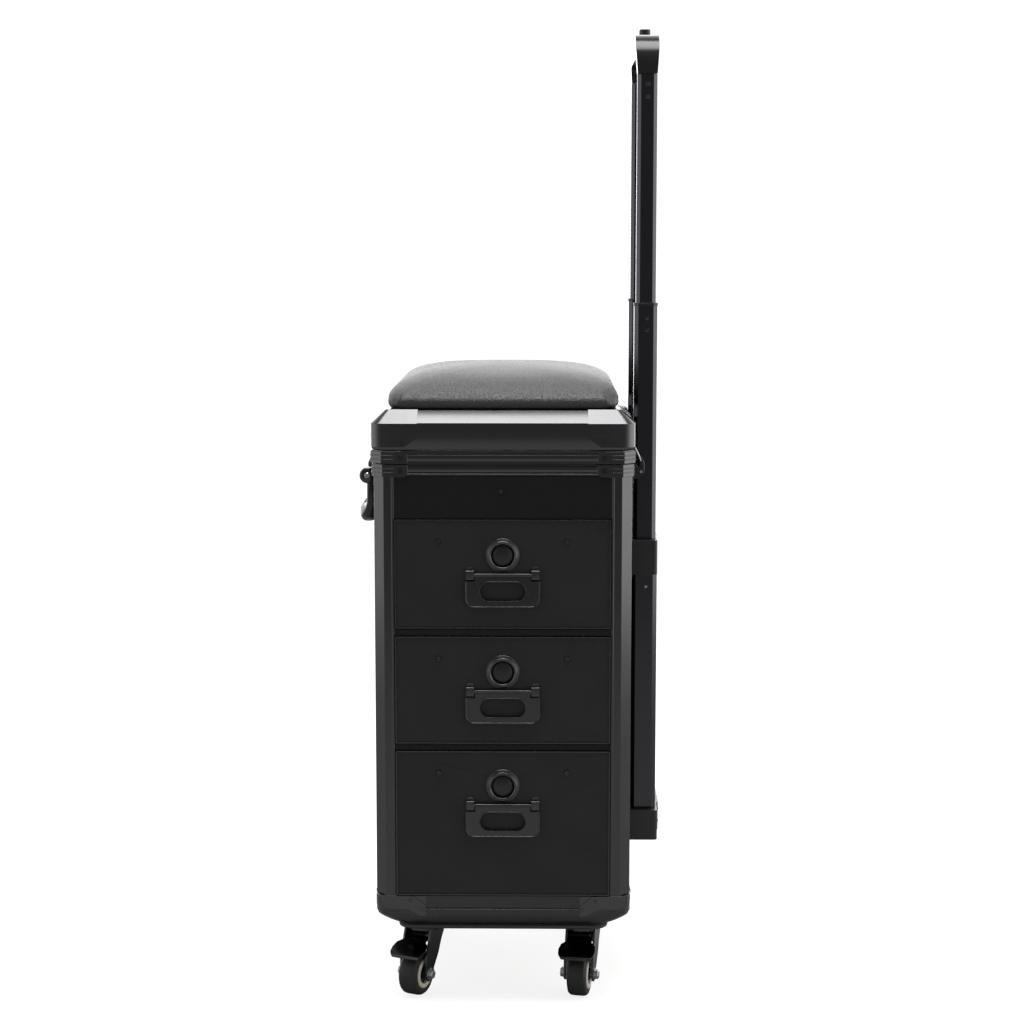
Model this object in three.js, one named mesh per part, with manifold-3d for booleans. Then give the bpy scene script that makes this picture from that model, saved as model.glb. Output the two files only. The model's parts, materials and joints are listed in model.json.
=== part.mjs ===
// A rolling salon case: a tall narrow body with three drawers, a cushioned seat for a lid,
// a two-stage telescopic handle, a carry handle, two draw latches and four swivel casters.
// Millimetres. X runs towards the telescopic handle, Y away from the drawer fronts, Z is up.
// Pieces are drawn about the body's centre line (X = 0), its front face (Y = 0) and the floor
// (Z = 0); the outer group then moves the whole case over its own origin.
import * as THREE from 'three';
import { mergeVertices } from 'three/addons/utils/BufferGeometryUtils.js';
import Module from 'manifold-3d';

const wasm = await Module();
wasm.setup();

// Driving dimensions: the case
const GAP = 0.3; // air between pieces that touch
const WIDTH = 280;
const DEPTH = 345;
const MID_Y = DEPTH / 2;
const CORNER = 11; // chamfer on the upright corners
const SKIN = 6; // panel and drawer front thickness
const BASE_BOTTOM = 86.2;
const BASE_TOP = 126.4;
const BODY_TOP = 593.1;
const SPLIT = 606.3; // where the lid meets the body
const LID_RIM_TOP = 621.4;
const LID_SHOULDER = 650;
const LID_TOP = 663.7;
const LID_OVERHANG = 2;
const SEAT_TOP = 712;

// Driving dimensions: drawers, from the top one down
const DRAWERS = [
  { name: 'upper', bottom: 426.5, top: 545.8 },
  { name: 'middle', bottom: 298.7, top: 417.2 },
  { name: 'lower', bottom: 127.6, top: 290 },
];
const DRAWER_HALF = 117.3;
const OPENING_HALF = 118.2;
const BOX_HALF = 112;
const BOX_BACK = 316;
const BOARD = 4;
const BUTTON_DROP = 39; // button centre below the drawer's top edge
const BUTTON_RADIUS = 12;
const BUTTON_LENGTH = 5;
const BEZEL_RADIUS = 18.3;
const PULL_DROP = 56;
const PULL_WIDTH = 80;
const PULL_HEIGHT = 39;

// Driving dimensions: telescopic handle
const TUBE_X = 157;
const TUBE_YS = [92, 252];
const INNER_TUBE = { halfX: 11, halfY: 8, chamfer: 4, bottom: 716, top: 1025.7 };
const MIDDLE_TUBE = { halfX: 12.8, halfY: 9.8, chamfer: 4.4, bottom: 423, top: 776 };
const OUTER_TUBE = { halfX: 14.6, halfY: 11.6, chamfer: 4.8, bottom: 205.3, top: 474.7 };
const TUBE_WALL = 1.4;
const UPPER_BRACKET = { bottom: 475, top: 513.5, bulge: 173 };
const LOWER_BRACKET = { bottom: 171, top: 205, bulge: 176.5 };
const BRACKET_HALF = 102;
const GRIP_BOTTOM = 1026;
const GRIP_TOP = 1070;
const GRIP_BUTTON_TOP = 1080;

// Driving dimensions: casters
const CASTER_X = 90;
const CASTER_YS = [60, 285];
const WHEEL_RADIUS = 25;
const WHEEL_HALF = 11;
const TRAIL = 20;
const CASTERS = [
  { name: 'front_left', x: -CASTER_X, y: CASTER_YS[0], turn: -25, brake: true },
  { name: 'front_right', x: CASTER_X, y: CASTER_YS[0], turn: -12, brake: true },
  { name: 'rear_left', x: -CASTER_X, y: CASTER_YS[1], turn: 172, brake: false },
  { name: 'rear_right', x: CASTER_X, y: CASTER_YS[1], turn: -168, brake: false },
];

// The case's origin is the middle of its footprint: the carry handle and the lower bracket
// are its ends along X, the drawer buttons and the lid's back are its ends along Y.
const CARRY_REACH = 165;
const FRONT_REACH = -6;
const ORIGIN_X = (LOWER_BRACKET.bulge - CARRY_REACH) / 2;
const ORIGIN_Y = (FRONT_REACH + DEPTH + LID_OVERHANG) / 2;

// ---------------------------------------------------------------- materials

function finish(color, roughness, metalness) {
  return new THREE.MeshStandardMaterial({ color, roughness, metalness });
}
const VINYL = finish('#28292a', 0.55, 0);
const ANODISED = finish('#303133', 0.35, 0.8);
const CORNER_PLASTIC = finish('#242527', 0.4, 0);
const LEATHER = finish('#2b2c2c', 0.45, 0);
const TUBE_BLACK = finish('#1b1b1d', 0.25, 0.6);
const HANDLE_PLASTIC = finish('#1d1e20', 0.35, 0);
const BLACK_STEEL = finish('#19191b', 0.4, 0.7);
const TYRE = finish('#242427', 0.6, 0);
const BOARD_GREY = finish('#3a3a3c', 0.8, 0);

// ---------------------------------------------------------------- geometry helpers

/** A closed geometry as a solid that can be joined and cut. */
function solidOf(geometry) {
  const bare = geometry.clone();
  bare.deleteAttribute('normal');
  bare.deleteAttribute('uv');
  const merged = mergeVertices(bare, 1e-4);
  const vertProperties = new Float32Array(merged.attributes.position.array);
  const triVerts = new Uint32Array(merged.index.array);
  return new wasm.Manifold(new wasm.Mesh({ numProp: 3, vertProperties, triVerts }));
}

function geometryOf(solid) {
  const mesh = solid.getMesh();
  const geometry = new THREE.BufferGeometry();
  geometry.setAttribute('position', new THREE.BufferAttribute(mesh.vertProperties, 3));
  geometry.setIndex(new THREE.BufferAttribute(mesh.triVerts, 1));
  return geometry;
}

function join(...pieces) {
  return geometryOf(pieces.map(solidOf).reduce((all, piece) => all.add(piece)));
}

function cut(body, ...tools) {
  return geometryOf(tools.map(solidOf).reduce((rest, tool) => rest.subtract(tool), solidOf(body)));
}

/** A box between two planes on each axis. */
function block([x0, x1], [y0, y1], [z0, z1]) {
  const geometry = new THREE.BoxGeometry(x1 - x0, y1 - y0, z1 - z0);
  return geometry.translate((x0 + x1) / 2, (y0 + y1) / 2, (z0 + z1) / 2);
}

function shapeOf(points) {
  return new THREE.Shape(points.map(([u, v]) => new THREE.Vector2(u, v)));
}

/** A flat outline pushed from one height to another. */
function uprightPrism(points, [z0, z1]) {
  const geometry = new THREE.ExtrudeGeometry(shapeOf(points), { depth: z1 - z0, bevelEnabled: false });
  return geometry.translate(0, 0, z0);
}

/** An outline of (Y, Z) points pushed along X. */
function crossPrism(points, [x0, x1]) {
  const geometry = new THREE.ExtrudeGeometry(shapeOf(points), { depth: x1 - x0, bevelEnabled: false });
  const turn = new THREE.Matrix4().makeBasis(
    new THREE.Vector3(0, 1, 0),
    new THREE.Vector3(0, 0, 1),
    new THREE.Vector3(1, 0, 0),
  );
  return geometry.applyMatrix4(turn).translate(x0, 0, 0);
}

/** An outline of (X, Z) points pushed along Y. */
function deepPrism(points, [y0, y1]) {
  const geometry = new THREE.ExtrudeGeometry(shapeOf(points), { depth: y1 - y0, bevelEnabled: false });
  return geometry.rotateX(Math.PI / 2).translate(0, y1, 0);
}

/** A rectangle about the case's middle with cut or rounded corners. */
function outline(halfX, halfY, corner, steps = 1) {
  const points = [];
  const corners = [[1, 1], [-1, 1], [-1, -1], [1, -1]];
  corners.forEach(([sx, sy], quarter) => {
    for (let step = 0; step <= steps; step += 1) {
      const angle = (quarter + step / steps) * (Math.PI / 2);
      const x = sx * (halfX - corner) + corner * Math.cos(angle);
      const y = sy * (halfY - corner) + corner * Math.sin(angle);
      points.push([x, MID_Y + y]);
    }
  });
  return points;
}

/** A closed solid through outlines of equal count, lowest first. */
function loft(levels) {
  const count = levels[0].points.length;
  const position = levels.flatMap(({ z, points }) => points.flatMap(([x, y]) => [x, y, z]));
  const index = [];
  for (let level = 0; level < levels.length - 1; level += 1) {
    for (let i = 0; i < count; i += 1) {
      const a = level * count + i;
      const b = level * count + ((i + 1) % count);
      index.push(a, b, b + count, a, b + count, a + count);
    }
  }
  const top = (levels.length - 1) * count;
  for (let i = 1; i < count - 1; i += 1) {
    index.push(0, i + 1, i);
    index.push(top, top + i, top + i + 1);
  }
  const geometry = new THREE.BufferGeometry();
  geometry.setAttribute('position', new THREE.Float32BufferAttribute(position, 3));
  geometry.setIndex(index);
  return geometry;
}

function slab(halfX, halfY, corner, [z0, z1]) {
  const points = outline(halfX, halfY, corner);
  return loft([{ z: z0, points }, { z: z1, points }]);
}

/** A disc or pin along 'x', 'y' or 'z', given its centre. */
function pin(axis, radius, length, [x, y, z], sides = 24) {
  const geometry = new THREE.CylinderGeometry(radius, radius, length, sides);
  if (axis === 'x') geometry.rotateZ(Math.PI / 2);
  if (axis === 'z') geometry.rotateX(Math.PI / 2);
  return geometry.translate(x, y, z);
}

// ---------------------------------------------------------------- scene graph

const trolley = new THREE.Group();
trolley.position.set(-ORIGIN_X, -ORIGIN_Y, 0);

function place(name, geometry, material, parent = trolley) {
  const mesh = new THREE.Mesh(geometry, material);
  mesh.name = name;
  parent.add(mesh);
}

// ---------------------------------------------------------------- body

/** Base moulding with ball corners, hollow above its board. */
function baseTray() {
  const half = { x: WIDTH / 2, y: DEPTH / 2 };
  const body = loft([
    { z: BASE_BOTTOM, points: outline(half.x - 24, half.y - 24, 22) },
    { z: BASE_BOTTOM + 4, points: outline(half.x - 18, half.y - 18, 20) },
    { z: 99, points: outline(half.x - 7, half.y - 7, 15) },
    { z: 112, points: outline(half.x, half.y, CORNER) },
    { z: BASE_TOP, points: outline(half.x, half.y, CORNER) },
  ]);
  return cut(body, slab(half.x - 18, half.y - 18, 4, [100, BASE_TOP + 1]));
}

/** L-shaped corner extrusion with a chamfered outer edge. */
function cornerPost(sideX, rear) {
  const leg = 21.5;
  const wall = 4.5;
  const inner = CORNER + 1;
  const section = [
    [leg, 0], [leg, wall], [inner, wall], [wall, inner], [wall, leg], [0, leg], [0, CORNER - 0.5],
    [CORNER - 0.5, 0],
  ];
  const points = section.map(([u, v]) => [
    sideX * (WIDTH / 2 - u),
    rear ? DEPTH - v : v,
  ]);
  return uprightPrism(points, [BASE_TOP + GAP, BODY_TOP]);
}

function addBody() {
  const upright = [BASE_TOP + GAP, BODY_TOP];
  const wallX = WIDTH / 2 - 0.6;
  const wallY = [22, DEPTH - 22];
  place('base_tray', baseTray(), CORNER_PLASTIC);
  place('left_panel', block([-wallX, -wallX + SKIN], wallY, upright), VINYL);
  place('right_panel', block([wallX - SKIN, wallX], wallY, upright), VINYL);
  const backY = [DEPTH - 0.6 - SKIN, DEPTH - 0.6];
  place('back_panel', block([-OPENING_HALF, OPENING_HALF], backY, upright), VINYL);
  for (const [rowName, rear] of [['front', false], ['rear', true]]) {
    for (const [sideName, sideX] of [['left', -1], ['right', 1]]) {
      place(`corner_post_${rowName}_${sideName}`, cornerPost(sideX, rear), ANODISED);
    }
  }
  const fasciaBottom = DRAWERS[0].top + 1.1;
  place('front_fascia', block([-OPENING_HALF, OPENING_HALF], [0, SKIN], [fasciaBottom, BODY_TOP]), VINYL);
  const inside = { x: WIDTH / 2 - 7, y: DEPTH / 2 - 7, corner: 6 };
  const floorHeights = [fasciaBottom, fasciaBottom + 5];
  place('compartment_floor', slab(inside.x, inside.y, inside.corner, floorHeights), BOARD_GREY);
  for (const [name, above, below] of [['upper', 0, 1], ['lower', 1, 2]]) {
    const heights = [DRAWERS[below].top + 1.2, DRAWERS[above].bottom - 1.2];
    const rail = block([-OPENING_HALF, OPENING_HALF], [0.6, 8], heights);
    const shelf = slab(inside.x, inside.y, inside.corner, heights);
    place(`divider_${name}`, join(shelf, rail), BOARD_GREY);
  }
  const rimOuter = slab(WIDTH / 2 + 0.6, DEPTH / 2 + 0.6, CORNER, [BODY_TOP + GAP, SPLIT - GAP]);
  const rimInner = slab(WIDTH / 2 - 9, DEPTH / 2 - 9, 4, [BODY_TOP, SPLIT]);
  place('body_rim', cut(rimOuter, rimInner), ANODISED);
}

// ---------------------------------------------------------------- lid

const CATCH_YS = [[40, 60], [DEPTH - 60, DEPTH - 40]];
const CATCH_PROUD = 1.5;
const CATCH_HEIGHTS = [609, 618];

/** Lid rim with the two catch blocks that the draw latches pull on. */
function lidRim() {
  const heights = [SPLIT + GAP, LID_RIM_TOP];
  const half = { x: WIDTH / 2 + LID_OVERHANG, y: DEPTH / 2 + LID_OVERHANG };
  const ring = cut(
    slab(half.x, half.y, CORNER, heights),
    slab(WIDTH / 2 - 9, DEPTH / 2 - 9, 4, [SPLIT, LID_RIM_TOP + 1]),
  );
  const catches = CATCH_YS.map((ys) => block([half.x - 1, half.x + CATCH_PROUD], ys, CATCH_HEIGHTS));
  return join(ring, ...catches);
}

/** Upper lid frame: upright walls, then a bevel all round that ends at the top face. */
function lidFrame() {
  const half = { x: WIDTH / 2 + LID_OVERHANG, y: DEPTH / 2 + LID_OVERHANG };
  const bevel = 15;
  const outer = loft([
    { z: LID_RIM_TOP + GAP, points: outline(half.x, half.y, CORNER) },
    { z: LID_SHOULDER, points: outline(half.x, half.y, CORNER) },
    { z: LID_TOP, points: outline(half.x - bevel, half.y - bevel, CORNER / 2) },
  ]);
  const pocket = slab(half.x - SKIN, half.y - SKIN, 4, [LID_RIM_TOP, 655]);
  const mouth = slab(half.x - 20, half.y - 20, 4, [654, LID_TOP + 1]);
  return cut(outer, pocket, mouth);
}

/** Stuffed seat: pinched in at its foot, rounded over its shoulders, crowned on top. */
function seatCushion() {
  const steps = 4;
  const levels = [
    { z: LID_TOP + GAP, x: 118, y: 152, corner: 20 },
    { z: 668, x: 125, y: 159, corner: 26 },
    { z: 677, x: 126.5, y: 160.5, corner: 28 },
    { z: 688, x: 121, y: 155, corner: 30 },
    { z: 699, x: 108, y: 142, corner: 32 },
    { z: 707, x: 88, y: 122, corner: 34 },
    { z: SEAT_TOP, x: 58, y: 92, corner: 36 },
  ];
  return loft(levels.map(({ z, x, y, corner }) => ({ z, points: outline(x, y, corner, steps) })));
}

function addLid() {
  place('lid_rim', lidRim(), ANODISED);
  place('lid_frame', lidFrame(), ANODISED);
  const halfX = WIDTH / 2 + LID_OVERHANG - 20 - GAP;
  const halfY = DEPTH / 2 + LID_OVERHANG - 20 - GAP;
  place('lid_panel', slab(halfX, halfY, 4, [655 + GAP, LID_TOP]), VINYL);
  place('seat_cushion', seatCushion(), LEATHER);
}

/** Long hinge on the case's left edge: a barrel and the leaf fixed to the body. */
function addLidHinge() {
  const ys = [110, 235];
  const barrelX = -WIDTH / 2 - 5;
  const leaf = block([barrelX, -WIDTH / 2 - 0.9], ys, [596, SPLIT - 1]);
  const barrel = pin('y', 2.4, ys[1] - ys[0], [barrelX, (ys[0] + ys[1]) / 2, SPLIT], 12);
  const clear = block([barrelX + 2.3, barrelX + 6], [ys[0] - 1, ys[1] + 1], [SPLIT - 1, SPLIT + 5]);
  place('lid_hinge', cut(join(leaf, barrel), clear), BLACK_STEEL);
}

/** Draw latch: a body on the case's right side and the lever that swings over the catch. */
function addLatches() {
  const x = WIDTH / 2;
  for (const [name, [y0, y1]] of [['front', CATCH_YS[0]], ['rear', CATCH_YS[1]]]) {
    const body = join(
      block([x + 0.9, x + 4], [y0 - 2, y1 + 2], [578, 605]),
      block([x + 3, x + 6], [y0 - 2, y1 + 2], [580, 589]),
    );
    place(`latch_body_${name}`, body, BLACK_STEEL);
    const lever = deepPrism(
      [[x + 7.4, 590], [x + 14.6, 592], [x + 15, 606], [x + 12, 616], [x + 7.4, 617]],
      [y0, y1],
    );
    place(`latch_lever_${name}`, lever, BLACK_STEEL);
  }
}

// ---------------------------------------------------------------- carry handle

const CARRY_PIVOT = { x: -WIDTH / 2 - 10, z: 581 };
const CARRY_YS = [105, 240];
const LUG = 12;

function addCarryHandle() {
  const face = -WIDTH / 2;
  const [y0, y1] = CARRY_YS;
  const plate = block([face - 2.4, face + 0.3], [y0, y1], [571, 591]);
  const lugs = [[y0, y0 + LUG], [y1 - LUG, y1]].map((ys) => block([face - 16, face - 2], ys, [573, 589]));
  place('carry_handle_mount', join(plate, ...lugs), BLACK_STEEL);
  const arm0 = [y0 + LUG + GAP, y0 + LUG + 9];
  const arm1 = [y1 - LUG - 9, y1 - LUG - GAP];
  const arms = [arm0, arm1].map((ys) => block([face - 15, face - 5], ys, [532, 586]));
  const grip = deepPrism(
    [
      [-CARRY_REACH, 533], [-CARRY_REACH + 6, 526], [face - 9, 526], [face - 5, 530],
      [face - 5, 542], [face - 9, 547], [-CARRY_REACH + 6, 547], [-CARRY_REACH, 541],
    ],
    [arm0[0], arm1[1]],
  );
  place('carry_handle', join(grip, ...arms), HANDLE_PLASTIC);
}

// ---------------------------------------------------------------- drawers

/** Open-topped drawer tray behind the front. */
function drawerBox({ bottom, top }) {
  const floor = bottom + 2;
  const rim = top - 10;
  const outer = block([-BOX_HALF, BOX_HALF], [SKIN + GAP, BOX_BACK], [floor, rim]);
  const hollow = block(
    [-BOX_HALF + BOARD, BOX_HALF - BOARD],
    [SKIN + GAP + BOARD, BOX_BACK - BOARD],
    [floor + BOARD, rim + 1],
  );
  return cut(outer, hollow);
}

/** Front board with the lock's raised ring and the two square knuckles of the pull. */
function drawerFront({ bottom, top }) {
  const buttonZ = top - BUTTON_DROP;
  const pullZ = top - PULL_DROP;
  const knuckle = 9;
  const board = block([-DRAWER_HALF, DRAWER_HALF], [0, SKIN], [bottom, top]);
  const bezel = pin('y', BEZEL_RADIUS, 6, [0, -1.5, buttonZ], 32);
  const bore = pin('y', BUTTON_RADIUS + 0.6, 30, [0, 0, buttonZ], 32);
  const knuckles = [-1, 1].map((side) => {
    const xs = [side * (PULL_WIDTH / 2 - knuckle), side * (PULL_WIDTH / 2)].sort((a, b) => a - b);
    return block(xs, [-6, 1], [pullZ - 10, pullZ + 1]);
  });
  return cut(join(board, bezel, ...knuckles), bore);
}

/** Flap pull: a neck between the knuckles, a wide plate below and a finger slot. */
function drawerPull({ top }) {
  const z = top - PULL_DROP;
  const half = PULL_WIDTH / 2;
  const neck = half - 9 - 0.5;
  const neckTop = z - 2;
  const round = 9;
  const plate = deepPrism(
    [
      [-neck, neckTop], [-neck, z - 10.6], [-half, z - 10.6], [-half, z - PULL_HEIGHT + round],
      [-half + round * 0.35, z - PULL_HEIGHT + round * 0.35], [-half + round, z - PULL_HEIGHT],
      [half - round, z - PULL_HEIGHT], [half - round * 0.35, z - PULL_HEIGHT + round * 0.35],
      [half, z - PULL_HEIGHT + round], [half, z - 10.6], [neck, z - 10.6], [neck, neckTop],
    ],
    [-5, -2],
  );
  const slotZ = z - 21;
  const slotRadius = 10.5;
  const slotHalf = 24.5 - slotRadius;
  const slot = join(
    block([-slotHalf, slotHalf], [-8, 1], [slotZ - slotRadius, slotZ + slotRadius]),
    pin('y', slotRadius, 9, [-slotHalf, -3.5, slotZ], 16),
    pin('y', slotRadius, 9, [slotHalf, -3.5, slotZ], 16),
  );
  return cut(plate, slot);
}

function addDrawers() {
  for (const drawer of DRAWERS) {
    place(`drawer_box_${drawer.name}`, drawerBox(drawer), BOARD_GREY);
    place(`drawer_front_${drawer.name}`, drawerFront(drawer), VINYL);
    place(`drawer_pull_${drawer.name}`, drawerPull(drawer), BLACK_STEEL);
    const button = pin('y', BUTTON_RADIUS, BUTTON_LENGTH, [0, -0.5, drawer.top - BUTTON_DROP], 24);
    place(`lock_button_${drawer.name}`, button, BLACK_STEEL);
  }
}

// ---------------------------------------------------------------- telescopic handle

function tubeOutline(y, halfX, halfY, corner) {
  return outline(halfX, halfY, corner).map(([px, py]) => [TUBE_X + px, y + py - MID_Y]);
}

/** Hollow tube with wide chamfers, open at both ends. */
function tube(y, { halfX, halfY, chamfer, bottom, top }) {
  const inner = chamfer - TUBE_WALL * 0.6;
  const outer = uprightPrism(tubeOutline(y, halfX, halfY, chamfer), [bottom, top]);
  const bore = tubeOutline(y, halfX - TUBE_WALL, halfY - TUBE_WALL, inner);
  return cut(outer, uprightPrism(bore, [bottom - 1, top + 1]));
}

/** Block that holds both outer tubes to the case; its outer face swells between them. */
function tubeBracket({ bottom, top, bulge }, boreBottom) {
  const near = WIDTH / 2 - 0.3;
  const face = bulge - 3;
  const [y0, y1] = [MID_Y - BRACKET_HALF, MID_Y + BRACKET_HALF];
  const section = [
    [near, y0], [face - 4, y0], [face, y0 + 4], [face, y0 + 34], [bulge, y0 + 46],
    [bulge, y1 - 46], [face, y1 - 34], [face, y1 - 4], [face - 4, y1], [near, y1],
  ];
  const body = uprightPrism(section, [bottom, top]);
  const { halfX, halfY, chamfer } = MIDDLE_TUBE;
  const bores = TUBE_YS.map((y) =>
    uprightPrism(tubeOutline(y, halfX + 0.4, halfY + 0.4, chamfer), [boreBottom, top + 1]));
  return cut(body, ...bores);
}

/** Arched grip across both inner tubes, with a pocket for its button. */
function grip() {
  const [y0, y1] = [TUBE_YS[0] - 10, TUBE_YS[1] + 10];
  const arch = [
    [y0, GRIP_BOTTOM], [y0 + 22, GRIP_BOTTOM], [y0 + 32, GRIP_TOP - 26], [y1 - 32, GRIP_TOP - 26],
    [y1 - 22, GRIP_BOTTOM], [y1, GRIP_BOTTOM], [y1, GRIP_TOP - 18], [y1 - 14, GRIP_TOP - 4],
    [y1 - 34, GRIP_TOP], [y0 + 34, GRIP_TOP], [y0 + 14, GRIP_TOP - 4], [y0, GRIP_TOP - 18],
  ];
  const body = crossPrism(arch.reverse(), [TUBE_X - 13, TUBE_X + 13]);
  const pocket = block([TUBE_X - 7, TUBE_X + 7], [MID_Y - 18.5, MID_Y + 18.5], [GRIP_TOP - 16, GRIP_TOP + 1]);
  return cut(body, pocket);
}

function addTelescopicHandle() {
  place('tube_bracket_upper', tubeBracket(UPPER_BRACKET, UPPER_BRACKET.bottom - 1), HANDLE_PLASTIC);
  place('tube_bracket_lower', tubeBracket(LOWER_BRACKET, LOWER_BRACKET.bottom + 4), HANDLE_PLASTIC);
  for (const [name, y] of [['front', TUBE_YS[0]], ['rear', TUBE_YS[1]]]) {
    place(`outer_tube_${name}`, tube(y, OUTER_TUBE), TUBE_BLACK);
    place(`middle_tube_${name}`, tube(y, MIDDLE_TUBE), TUBE_BLACK);
    place(`inner_tube_${name}`, tube(y, INNER_TUBE), TUBE_BLACK);
  }
  place('handle_grip', grip(), HANDLE_PLASTIC);
  const button = block(
    [TUBE_X - 6.4, TUBE_X + 6.4],
    [MID_Y - 18, MID_Y + 18],
    [GRIP_TOP - 9, GRIP_BUTTON_TOP],
  );
  place('grip_button', button, HANDLE_PLASTIC);
}

// ---------------------------------------------------------------- casters
// Each caster is drawn about its own swivel axis with its wheel trailing towards -Y.

function casterPlate() {
  const plate = block([-27, 27], [-25, 25], [83, BASE_BOTTOM - GAP]);
  return join(plate, pin('z', 17, 6, [0, 0, 81], 20));
}

/** Stamped fork: round crown, two cheeks and the axle between them. */
function casterFork() {
  const crown = pin('z', 19, 7, [0, 0, 74.1], 24);
  const cheek = [
    [17, 77], [-16, 77], [-26, 44], [-TRAIL - 9, 27], [-TRAIL - 5, 18], [-TRAIL + 5, 17],
    [-TRAIL + 10, 25], [6, 58],
  ];
  const cheeks = [[-17, -14.4], [14.4, 17]].map((xs) => crossPrism([...cheek], xs));
  const axle = pin('x', 3, 38, [0, -TRAIL, WHEEL_RADIUS], 12);
  return join(crown, ...cheeks, axle);
}

/** Wheel with a bore for the axle, turned about X. */
function casterWheel() {
  const profile = [
    [3.6, -WHEEL_HALF - 1], [16.5, -WHEEL_HALF - 1], [17.5, -WHEEL_HALF], [22.5, -WHEEL_HALF],
    [WHEEL_RADIUS, -WHEEL_HALF + 3.5], [WHEEL_RADIUS, WHEEL_HALF - 3.5], [22.5, WHEEL_HALF],
    [17.5, WHEEL_HALF], [16.5, WHEEL_HALF + 1], [3.6, WHEEL_HALF + 1], [3.6, -WHEEL_HALF - 1],
  ];
  const lathe = new THREE.LatheGeometry(profile.map(([r, h]) => new THREE.Vector2(r, h)), 32);
  return lathe.rotateZ(Math.PI / 2).translate(0, -TRAIL, WHEEL_RADIUS);
}

/** Foot brake: a barrel between the cheeks and a wide pedal over the wheel. */
function casterBrake() {
  const barrel = pin('x', 3, 27, [0, -12, 64], 12);
  const arm = crossPrism([[-10, 66.5], [-34, 57.5], [-33, 54.5], [-10, 62]], [-13, 13]);
  const pedal = crossPrism([[-31, 58.6], [-48, 51], [-47, 47.5], [-31, 54.6]], [-18, 18]);
  return join(barrel, arm, pedal);
}

function addCasters() {
  for (const { name, x, y, turn, brake } of CASTERS) {
    const plateMount = new THREE.Group();
    plateMount.position.set(x, y, 0);
    const swivel = new THREE.Group();
    swivel.rotation.z = THREE.MathUtils.degToRad(turn);
    plateMount.add(swivel);
    trolley.add(plateMount);
    place(`caster_plate_${name}`, casterPlate(), BLACK_STEEL, plateMount);
    place(`caster_fork_${name}`, casterFork(), BLACK_STEEL, swivel);
    place(`caster_wheel_${name}`, casterWheel(), TYRE, swivel);
    if (brake) place(`caster_brake_${name}`, casterBrake(), BLACK_STEEL, swivel);
  }
}

addBody();
addLid();
addLidHinge();
addLatches();
addCarryHandle();
addDrawers();
addTelescopicHandle();
addCasters();

export default trolley;
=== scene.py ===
"""Looks of the salon trolley case: a case of drawers with a padded lid, a telescopic handle and casters.

Lengths are millimetres in the case's own coordinates: X from the middle of the case towards the
telescopic handle, Y from the drawer fronts to the back, Z up from the floor.
"""

import json
import math

import bmesh
import bpy
from mathutils import Matrix, Vector
from mathutils.bvhtree import BVHTree
from mathutils.geometry import tessellate_polygon


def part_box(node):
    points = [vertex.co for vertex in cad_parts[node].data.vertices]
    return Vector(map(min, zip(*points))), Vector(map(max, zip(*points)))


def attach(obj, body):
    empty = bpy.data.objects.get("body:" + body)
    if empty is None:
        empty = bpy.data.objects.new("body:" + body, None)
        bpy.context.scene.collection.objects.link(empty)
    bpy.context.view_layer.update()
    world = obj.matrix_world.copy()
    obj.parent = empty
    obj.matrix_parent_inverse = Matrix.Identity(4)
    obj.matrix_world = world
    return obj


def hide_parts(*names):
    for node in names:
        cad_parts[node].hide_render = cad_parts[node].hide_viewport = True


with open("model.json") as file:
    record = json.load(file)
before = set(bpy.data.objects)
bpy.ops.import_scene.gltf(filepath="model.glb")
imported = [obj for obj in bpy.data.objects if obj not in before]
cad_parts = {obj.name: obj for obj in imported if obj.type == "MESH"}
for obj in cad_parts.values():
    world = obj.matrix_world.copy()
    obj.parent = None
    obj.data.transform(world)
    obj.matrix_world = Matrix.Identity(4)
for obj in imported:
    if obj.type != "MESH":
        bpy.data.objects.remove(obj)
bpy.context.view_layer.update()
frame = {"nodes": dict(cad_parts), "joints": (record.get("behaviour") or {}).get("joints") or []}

MM = 0.001
tray_low, tray_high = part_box("base_tray")
TO_ROW = Matrix.Translation(((tray_low.x + tray_high.x) / 2, tray_low.y, 0)) @ Matrix.Scale(MM, 4)
TO_CASE = TO_ROW.inverted()


def span(node):
    """Lowest and highest corner of a CAD node, in case millimetres."""
    low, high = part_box(node)
    return TO_CASE @ low, TO_CASE @ high


HALF_X = span("base_tray")[1].x
DEPTH = span("base_tray")[1].y
MID_Y = DEPTH / 2
SPLIT_Z = span("body_rim")[1].z + 0.3
BEVEL_RISE = 13.7
TAU = 2 * math.pi
SIDES = (("left", -1), ("right", 1))
ENDS = (("front", False), ("rear", True))
DRAWERS = ("upper", "middle", "lower")

# ---------------------------------------------------------------- camera, light and stage

LENS = 77.3
CAMERA_AT = (43, -2357, 852)
PITCH = math.radians(7.2)
YAW = math.radians(0.8)
STUDIO_WHITE = 1.15
WALL_BASE = 0.17
WALL_LOBES = (("X", 1, 2.2), ("X", -1, 1.2), ("Y", 1, 3.4))


def linear(code):
    """An sRGB hex colour as linear RGBA."""
    channels = [int(code[i:i + 2], 16) / 255 for i in (1, 3, 5)]
    return (*[c / 12.92 if c <= 0.04045 else ((c + 0.055) / 1.055) ** 2.4 for c in channels], 1.0)


def add(tree, kind, links=None, **settings):
    """Adds a node: settings are its properties, links its sockets' values or sources."""
    node = tree.nodes.new(kind)
    for name, value in settings.items():
        setattr(node, name, value)
    for socket, source in (links or {}).items():
        if isinstance(source, bpy.types.NodeSocket):
            tree.links.new(source, node.inputs[socket])
        else:
            node.inputs[socket].default_value = source
    return node


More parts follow.
